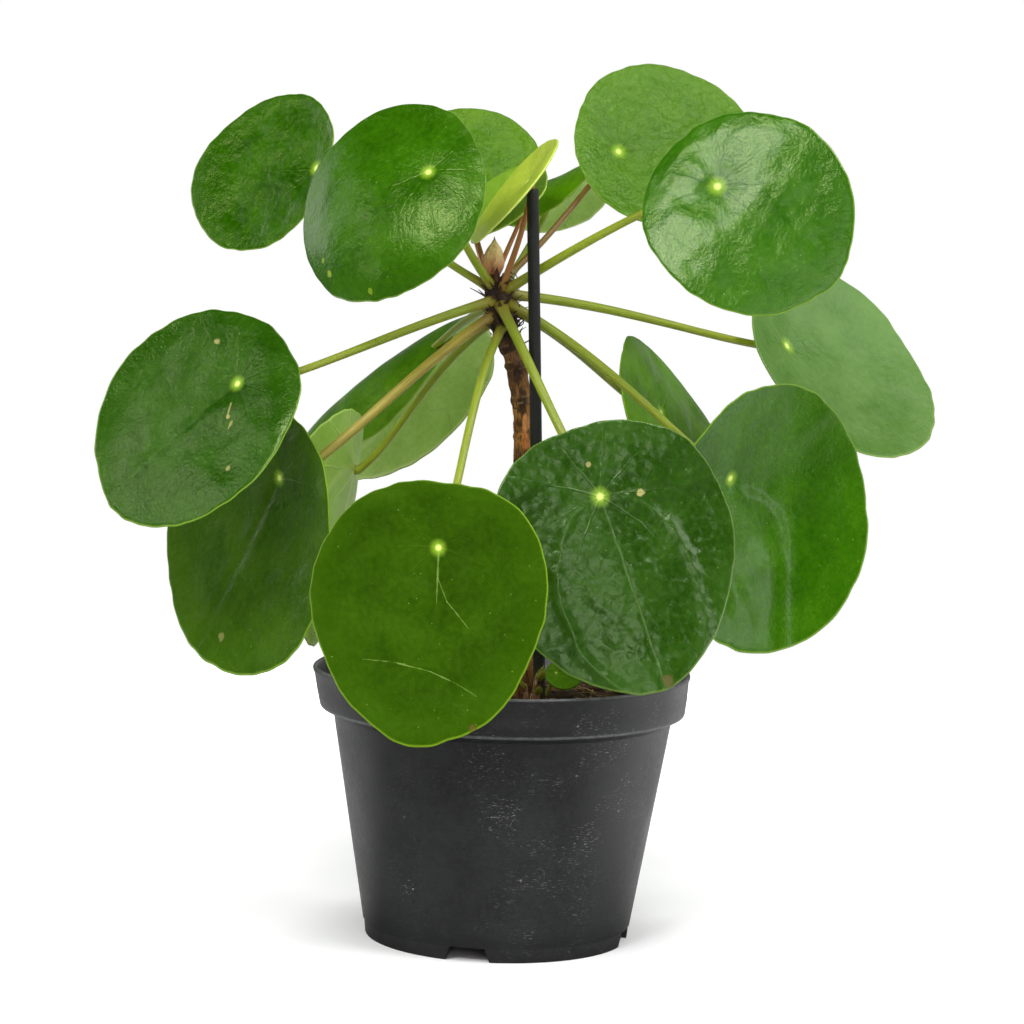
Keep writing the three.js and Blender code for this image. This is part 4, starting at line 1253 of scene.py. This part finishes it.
def make_stalk(name, leaf, root, heading, sunk, finish, slot, node, phase):
    thick, thin = leaf["stalk"]
    length = (Vector(leaf["spot"]) - root).length

    def radius(share, centre):
        plain = (thick + (thin - thick) * min(1.0, share * 1.6)) / 2
        foot = 0.35 * math.exp(-share * length / 2.2)
        head = 0.45 * math.exp(-(1 - share) * length / 2.0)
        return plain * (1 + foot + head)

    shape = bmesh.new()
    grow_tube(shape, stalk_line(leaf, root, heading, sunk, STALK_STEPS, phase), radius, STALK_SIDES)
    place_piece(name, shape, [finish], slot, node)


TAN_MARK = (168, 160, 96)
BROWN_MARK = (96, 70, 34)
PALE_YELLOW = (150, 178, 40)
PALE_VEIN = (140, 170, 84)
LOOKS = {
    1: dict(deep=(20, 58, 0), light=(46, 92, 0), vein=(26, 58, 0), gloss=0.2, swell=1.2, leather=0.26),
    2: dict(deep=(26, 66, 0), light=(50, 98, 0), vein=(28, 66, 0), gloss=0.22, leather=0.34, shine=0.5,
            sheen=(0.84, 1.0, 0.4),
            marks=((43, 12, 1.4, PALE_YELLOW, 0.6), (44, 7, 1.1, PALE_YELLOW, 0.5), (30, 26, 1.2, PALE_YELLOW, 0.4))),
    3: dict(deep=(44, 92, 0), light=(80, 120, 4), vein=(44, 86, 2), gloss=0.28, swell=1.5, leather=0.4),
    4: dict(deep=(142, 164, 34), light=(170, 190, 58), vein=(186, 200, 84), rim=(186, 200, 100),
            gloss=0.42, vein_strength=0.4),
    5: dict(deep=(85, 122, 20), light=(110, 148, 40), vein=(138, 168, 66), rim=(160, 182, 84),
            gloss=0.42, vein_strength=0.4),
    6: dict(deep=(58, 104, 0), light=(83, 132, 2), vein=(47, 91, 0), gloss=0.32),
    7: dict(deep=(42, 86, 0), light=(66, 110, 2), vein=(38, 76, 0), gloss=0.25, edge_glow=0.6, swell=2.0,
            leather=0.55, star=0.4, quilt=0.12, sheen=(0.84, 1.0, 0.45)),
    8: dict(deep=(24, 72, 0), light=(46, 96, 0), vein=(20, 60, 0), gloss=0.22, vein_strength=0.3,
            sheen=(0.82, 1.0, 0.42), coat=0.16, shine=0.5, spot_size=1.2, star=0.65, leather=0.34, quilt=0.12),
    9: dict(deep=(64, 106, 24), light=(90, 128, 52), vein=(56, 94, 34), gloss=0.44, spot_size=1.2,
            sheen=(1.0, 1.0, 1.0)),
    10: dict(deep=(28, 72, 0), light=(50, 100, 0), vein=(32, 72, 0), gloss=0.24, coat=0.12, shine=0.28, swell=1.0,
             leather=0.42),
    11: dict(deep=(22, 52, 0), light=(40, 78, 0), vein=(84, 116, 54), gloss=0.3, vein_strength=0.42, shine=0.55,
             quilt=0.62, midrib=1.0, sheen=(0.8, 1.0, 0.62), star=0.2, leather=0.16, swell=1.0,
             spot_size=1.2, reach=36.0, sunk=1.1, ray_tint=0.2, rim=(96, 124, 50),
             marks=((-10.5, -0.3, 1.0, TAN_MARK, 0.6), (2.8, 13, 1.5, TAN_MARK, 0.8),
                    (60.5, 1.5, 2.2, BROWN_MARK, 0.55))),
    12: dict(deep=(28, 58, 0), light=(46, 82, 0), vein=(52, 90, 8), gloss=0.36, vein_strength=0.1,
             edge_glow=0.5, swell=0.5, star=0.15, shine=0.25, ray_tint=0.5, rim=(112, 146, 30),
             marks=((51.6, 20.6, 1.4, BROWN_MARK, 0.6),),
             scores=(((1, 0.2), (18.2, 2.7), 0.36, PALE_VEIN, 0.4), ((9, 1.4), (15.6, 5.6), 0.24, PALE_VEIN, 0.3),
                     ((15.6, 5.6), (22.4, 13.7), 0.24, PALE_VEIN, 0.3), ((37.2, -18), (36.4, -8), 0.2, PALE_VEIN, 0.3),
                     ((36.4, -8), (37.2, 4), 0.24, PALE_VEIN, 0.45), ((37.2, 4), (39.4, 13), 0.22, PALE_VEIN, 0.4),
                     ((39.4, 13), (42, 20), 0.2, PALE_VEIN, 0.25))),
    13: dict(deep=(20, 56, 0), light=(38, 80, 0), vein=(24, 58, 0), gloss=0.22, swell=0.5, leather=0.3,
             shine=0.55, sheen=(0.84, 1.0, 0.45),
             marks=((-2.1, -17.2, 1.3, TAN_MARK, 0.6), (7.9, 8.5, 0.9, TAN_MARK, 0.6),
                    (16.5, 24.7, 1.1, TAN_MARK, 0.5)),
             scores=(((5, 5), (8.5, 8.5), 0.5, TAN_MARK, 0.6), ((8, 11), (10, 12), 0.5, TAN_MARK, 0.5))),
    14: dict(deep=(32, 68, 0), light=(54, 90, 0), vein=(66, 98, 26), gloss=0.34,
             shine=0.3, marks=((57, 8, 1.8, TAN_MARK, 0.35),)),
    15: dict(deep=(16, 54, 0), light=(36, 80, 0), vein=(22, 58, 0), gloss=0.46, shine=0.2,
             marks=((-14, 6, 1.3, BROWN_MARK, 0.9), (-9, 2, 0.9, BROWN_MARK, 0.9))),
    16: dict(deep=(38, 80, 0), light=(68, 112, 2), vein=(36, 76, 0), gloss=0.34,
             marks=((20, 8, 1.6, TAN_MARK, 0.4),)),
    17: dict(deep=(56, 102, 0), light=(92, 138, 14), vein=(52, 94, 4), gloss=0.4),
}
RELIEF = {
    2: dict(tip_up=0.12), 8: dict(quilt=0.14, dimple=0.4),
    10: dict(quilt=0.1, crease=-0.8, crease_off=4.0, soft=4.0, roof=-0.1, bow=9.0),
    11: dict(quilt=0.25, crease=0.4, roof=0.18), 12: dict(notch=0.05), 13: dict(crease=0.3, tip_right=-0.06),
    14: dict(crease=0.4, roof=0.06),
}
STALK_TONES = {3: "young", 4: "young", 5: "young", 7: "brown", 14: "tan"}
STALK_SLOTS = {4: "young_stalk", 5: "young_stalk", 7: "brown_stalk", 14: "tan_stalk"}


def make_leaves():
    # These underside tones are lifted past the leaves' own paleness: painted light standing in for light that shines
    # through the thin leaves
    under = leaf_under("leaf_underside", (186, 216, 120), (152, 192, 84), (210, 226, 152), 0.4)
    green_under = leaf_under("green_underside", (152, 190, 70), (122, 164, 44), (178, 204, 104), 0.4)
    young_under = leaf_under("young_leaf_underside", (168, 190, 84), (140, 168, 58), (200, 212, 120), 0.35)
    stalk_finishes = {
        "green": stalk_finish("green_stalk", (138, 126, 44), (126, 144, 22), (156, 168, 42), (90, 114, 6)),
        "brown": stalk_finish("brown_stalk", (122, 122, 36), (124, 88, 30), (112, 74, 32), (96, 62, 14)),
        "young": stalk_finish("young_stalk", (126, 104, 30), (152, 96, 46), (184, 112, 70), (134, 84, 26)),
        "tan": stalk_finish("tan_stalk", (128, 108, 44), (160, 146, 52), (170, 160, 70), (128, 116, 30)),
    }
    for number, leaf in enumerate(LEAVES, 1):
        leaf.update(RELIEF.get(number, {}))
        label = f"leaf_{number:02d}"
        young = number in (4, 5)
        upper = leaf_upper(f"{label}_upper", **LOOKS[number])
        phase = 2.4 * number
        below = young_under if young else green_under if number == 15 else under
        place_piece(f"{label}_blade_skin", blade_shape(leaf, phase), [upper, below],
                    "young_leaf" if young else "leaf_green", f"{label}_blade")
        angle, height = leaf["root"]
        heading = Vector((math.cos(math.radians(angle)), math.sin(math.radians(angle)), 0))
        root = stem_place(height) + heading * CROWN_RADIUS
        make_stalk(f"{label}_stalk_skin", leaf, root, heading, ROOT_SINK,
                   stalk_finishes[STALK_TONES.get(number, "green")],
                   STALK_SLOTS.get(number, "green_stalk"), f"{label}_stalk", phase)
    offset_upper = leaf_upper("offset_upper", (62, 112, 2), (90, 140, 12), (60, 104, 4), gloss=0.38,
                              spot_size=0.3, reach=6.0, swell=0.2)
    place_piece("offset_blade_skin", blade_shape(OFFSET_LEAF, 1), [offset_upper, under], "leaf_green",
                "offset_blade")
    make_stalk("offset_stalk_skin", OFFSET_LEAF, Vector(OFFSET_ROOT), Vector((0, 0, 1)), 0.0,
               stalk_finishes["green"], "green_stalk", "offset_stalk", 1)


# Stage, in metres

FLOOR_RADIUS = 30
FLOOR_SIDES = 96
FLOOR_GREY = 236.15
SHADED_GREY = 97.18
PLANT_MIDDLE = Vector((0, 0, 0.17))
SOFTBOX_REACH = 1.6
# Each softbox: turn from the viewer's side towards the right, rise, size in metres, power
SOFTBOXES = (
    ("front_left_softbox", -27, 39, (0.62, 0.5), 14.5),
    ("right_softbox", 54, 53, (0.5, 0.4), 12),
    ("low_front_softbox", 19, 4, (0.66, 0.5), 4.2),
    ("small_front_softbox", 8, 20, (0.22, 0.3), 0.55),
    ("low_right_softbox", 97, 28, (0.8, 0.8), 6.4),
    ("right_strip_softbox", 88, -2, (0.2, 0.34), 1.7),
    ("far_left_softbox", -121, 13, (0.7, 0.75), 2.4),
    ("near_left_softbox", -83, 27, (0.26, 0.22), 1.9),
    ("low_left_softbox", -67, 2, (0.4, 0.34), 1.7),
    ("top_softbox", 170, 74, (0.42, 0.42), 3),
)
# Broad fills that light without a mirror image: turn, rise and strength
FILLS = (("left_fill", -35, 42, 1.25), ("right_fill", 60, 50, 0.4))
FILL_SPREAD = 90
AMBIENT = 0.08
# The viewer's place and slant in degrees, and the picture's width and focal length in its own pixels
CAMERA_PLACE = (0.001, -1.24, 0.287)
CAMERA_PITCH = -6.87
CAMERA_ROLL = 1.8
PICTURE_WIDTH = 1024
FOCAL_LENGTH = 3900
SENSOR_WIDTH = 36


def make_stage():
    """A plain pale floor, white behind the plant, whose dark front is mirrored in the pot and leaves."""
    shape = bmesh.new()
    bmesh.ops.create_circle(shape, cap_ends=True, segments=FLOOR_SIDES, radius=FLOOR_RADIUS)
    floor = add_object("studio_floor", mesh_of("studio_floor", shape))
    material, shader, coordinates = new_material("pale_floor")
    place = Amount(coordinates.outputs["Object"])
    light_path = material.node_tree.nodes.new("ShaderNodeLightPath").outputs
    glossy, viewed = Amount(light_path["Is Glossy Ray"]), Amount(light_path["Is Camera Ray"])
    away = vector_step("LENGTH", place, output="Value")
    rightward, backward, _ = parts_of(place)
    right_back = fade(backward, -0.12, -0.05) * fade(rightward, 0.05, 0.15)
    near_back = fade(backward, -0.02, 0.04) * fade(away, 0.3, 0.5, 1.0, 0.0)
    pale, shaded = (FLOOR_GREY,) * 3, (SHADED_GREY,) * 3
    tone = mix_colour(glossy, pale, mix_colour(largest(right_back, near_back), shaded, pale))
    # Far behind the plant the floor is plain white to the viewer, and needs no lighting there
    tone = mix_colour(fade(away, 0.45, 0.6) * viewed, tone, (0, 0, 0))
    near_glow = fade(away, 0.15, 1.5, 0.3, 0.95) * fade(away, 0.035, 0.075)
    feed(shader.inputs, Base_Color=tone, Roughness=0.9, Specular_IOR_Level=0.0, Emission_Color=(1, 1, 1, 1),
         Emission_Strength=largest(near_glow, fade(away, 0.3, 0.45)) * viewed)
    floor.data.materials.append(material)


def direction(turn, rise):
    """The way towards a lamp, from its turn off the viewer's side to the right and its rise, in degrees."""
    turn, rise = math.radians(turn), math.radians(rise)
    return Vector((math.sin(turn) * math.cos(rise), -math.cos(turn) * math.cos(rise), math.sin(rise)))


def hang_lamp(name, kind, turn, rise, power):
    """A lamp that faces the plant's middle."""
    lamp = bpy.data.lights.new(name, kind)
    lamp.energy = power
    light = add_object(name, lamp)
    light.location = PLANT_MIDDLE + direction(turn, rise) * SOFTBOX_REACH
    light.rotation_euler = (-direction(turn, rise)).to_track_quat("-Z", "Y").to_euler()
    return light


def make_light():
    for name, turn, rise, size, power in SOFTBOXES:
        lamp = hang_lamp(name, "AREA", turn, rise, power).data
        lamp.shape = "RECTANGLE"
        lamp.size, lamp.size_y = size
    for name, turn, rise, strength in FILLS:
        fill = hang_lamp(name, "SUN", turn, rise, strength)
        fill.data.angle = math.radians(FILL_SPREAD)
        fill.visible_glossy = False
    make_room()


def make_room():
    """The room round the stage: white to the viewer, dim to the surfaces, bright only where it is mirrored behind."""
    room = bpy.data.worlds.new("studio")
    bpy.context.scene.world = room
    room.use_nodes = True
    nodes = room.node_tree.nodes
    _, backward, upward = parts_of(Amount(nodes.new("ShaderNodeTexCoord").outputs["Generated"]))
    light_path = nodes.new("ShaderNodeLightPath").outputs
    glossy, viewed = Amount(light_path["Is Glossy Ray"]), Amount(light_path["Is Camera Ray"])
    behind = fade(backward, 0.2, 0.9, 0.05, 1.0) * fade(upward, 0.0, 0.25, 1.0, 0.12)
    glow = behind * glossy + (1.0 - glossy) * AMBIENT
    feed(nodes["Background"].inputs, Color=(1, 1, 1, 1), Strength=largest(glow, viewed))


def make_camera():
    lens = bpy.data.cameras.new("camera")
    lens.sensor_fit = "HORIZONTAL"
    lens.sensor_width = SENSOR_WIDTH
    lens.lens = FOCAL_LENGTH / PICTURE_WIDTH * SENSOR_WIDTH
    lens.clip_end = 100
    camera = add_object("camera", lens)
    pitch = Matrix.Rotation(math.radians(90 + CAMERA_PITCH), 4, "X")
    roll = Matrix.Rotation(math.radians(CAMERA_ROLL), 4, "Z")
    camera.matrix_world = Matrix.Translation(CAMERA_PLACE) @ pitch @ roll
    bpy.context.scene.camera = camera


make_camera()
make_light()
make_stage()
make_pot()
make_soil()
make_stake()
make_stem()
make_bud()
make_leaves()
bpy.context.scene.view_settings.view_transform = "Standard"
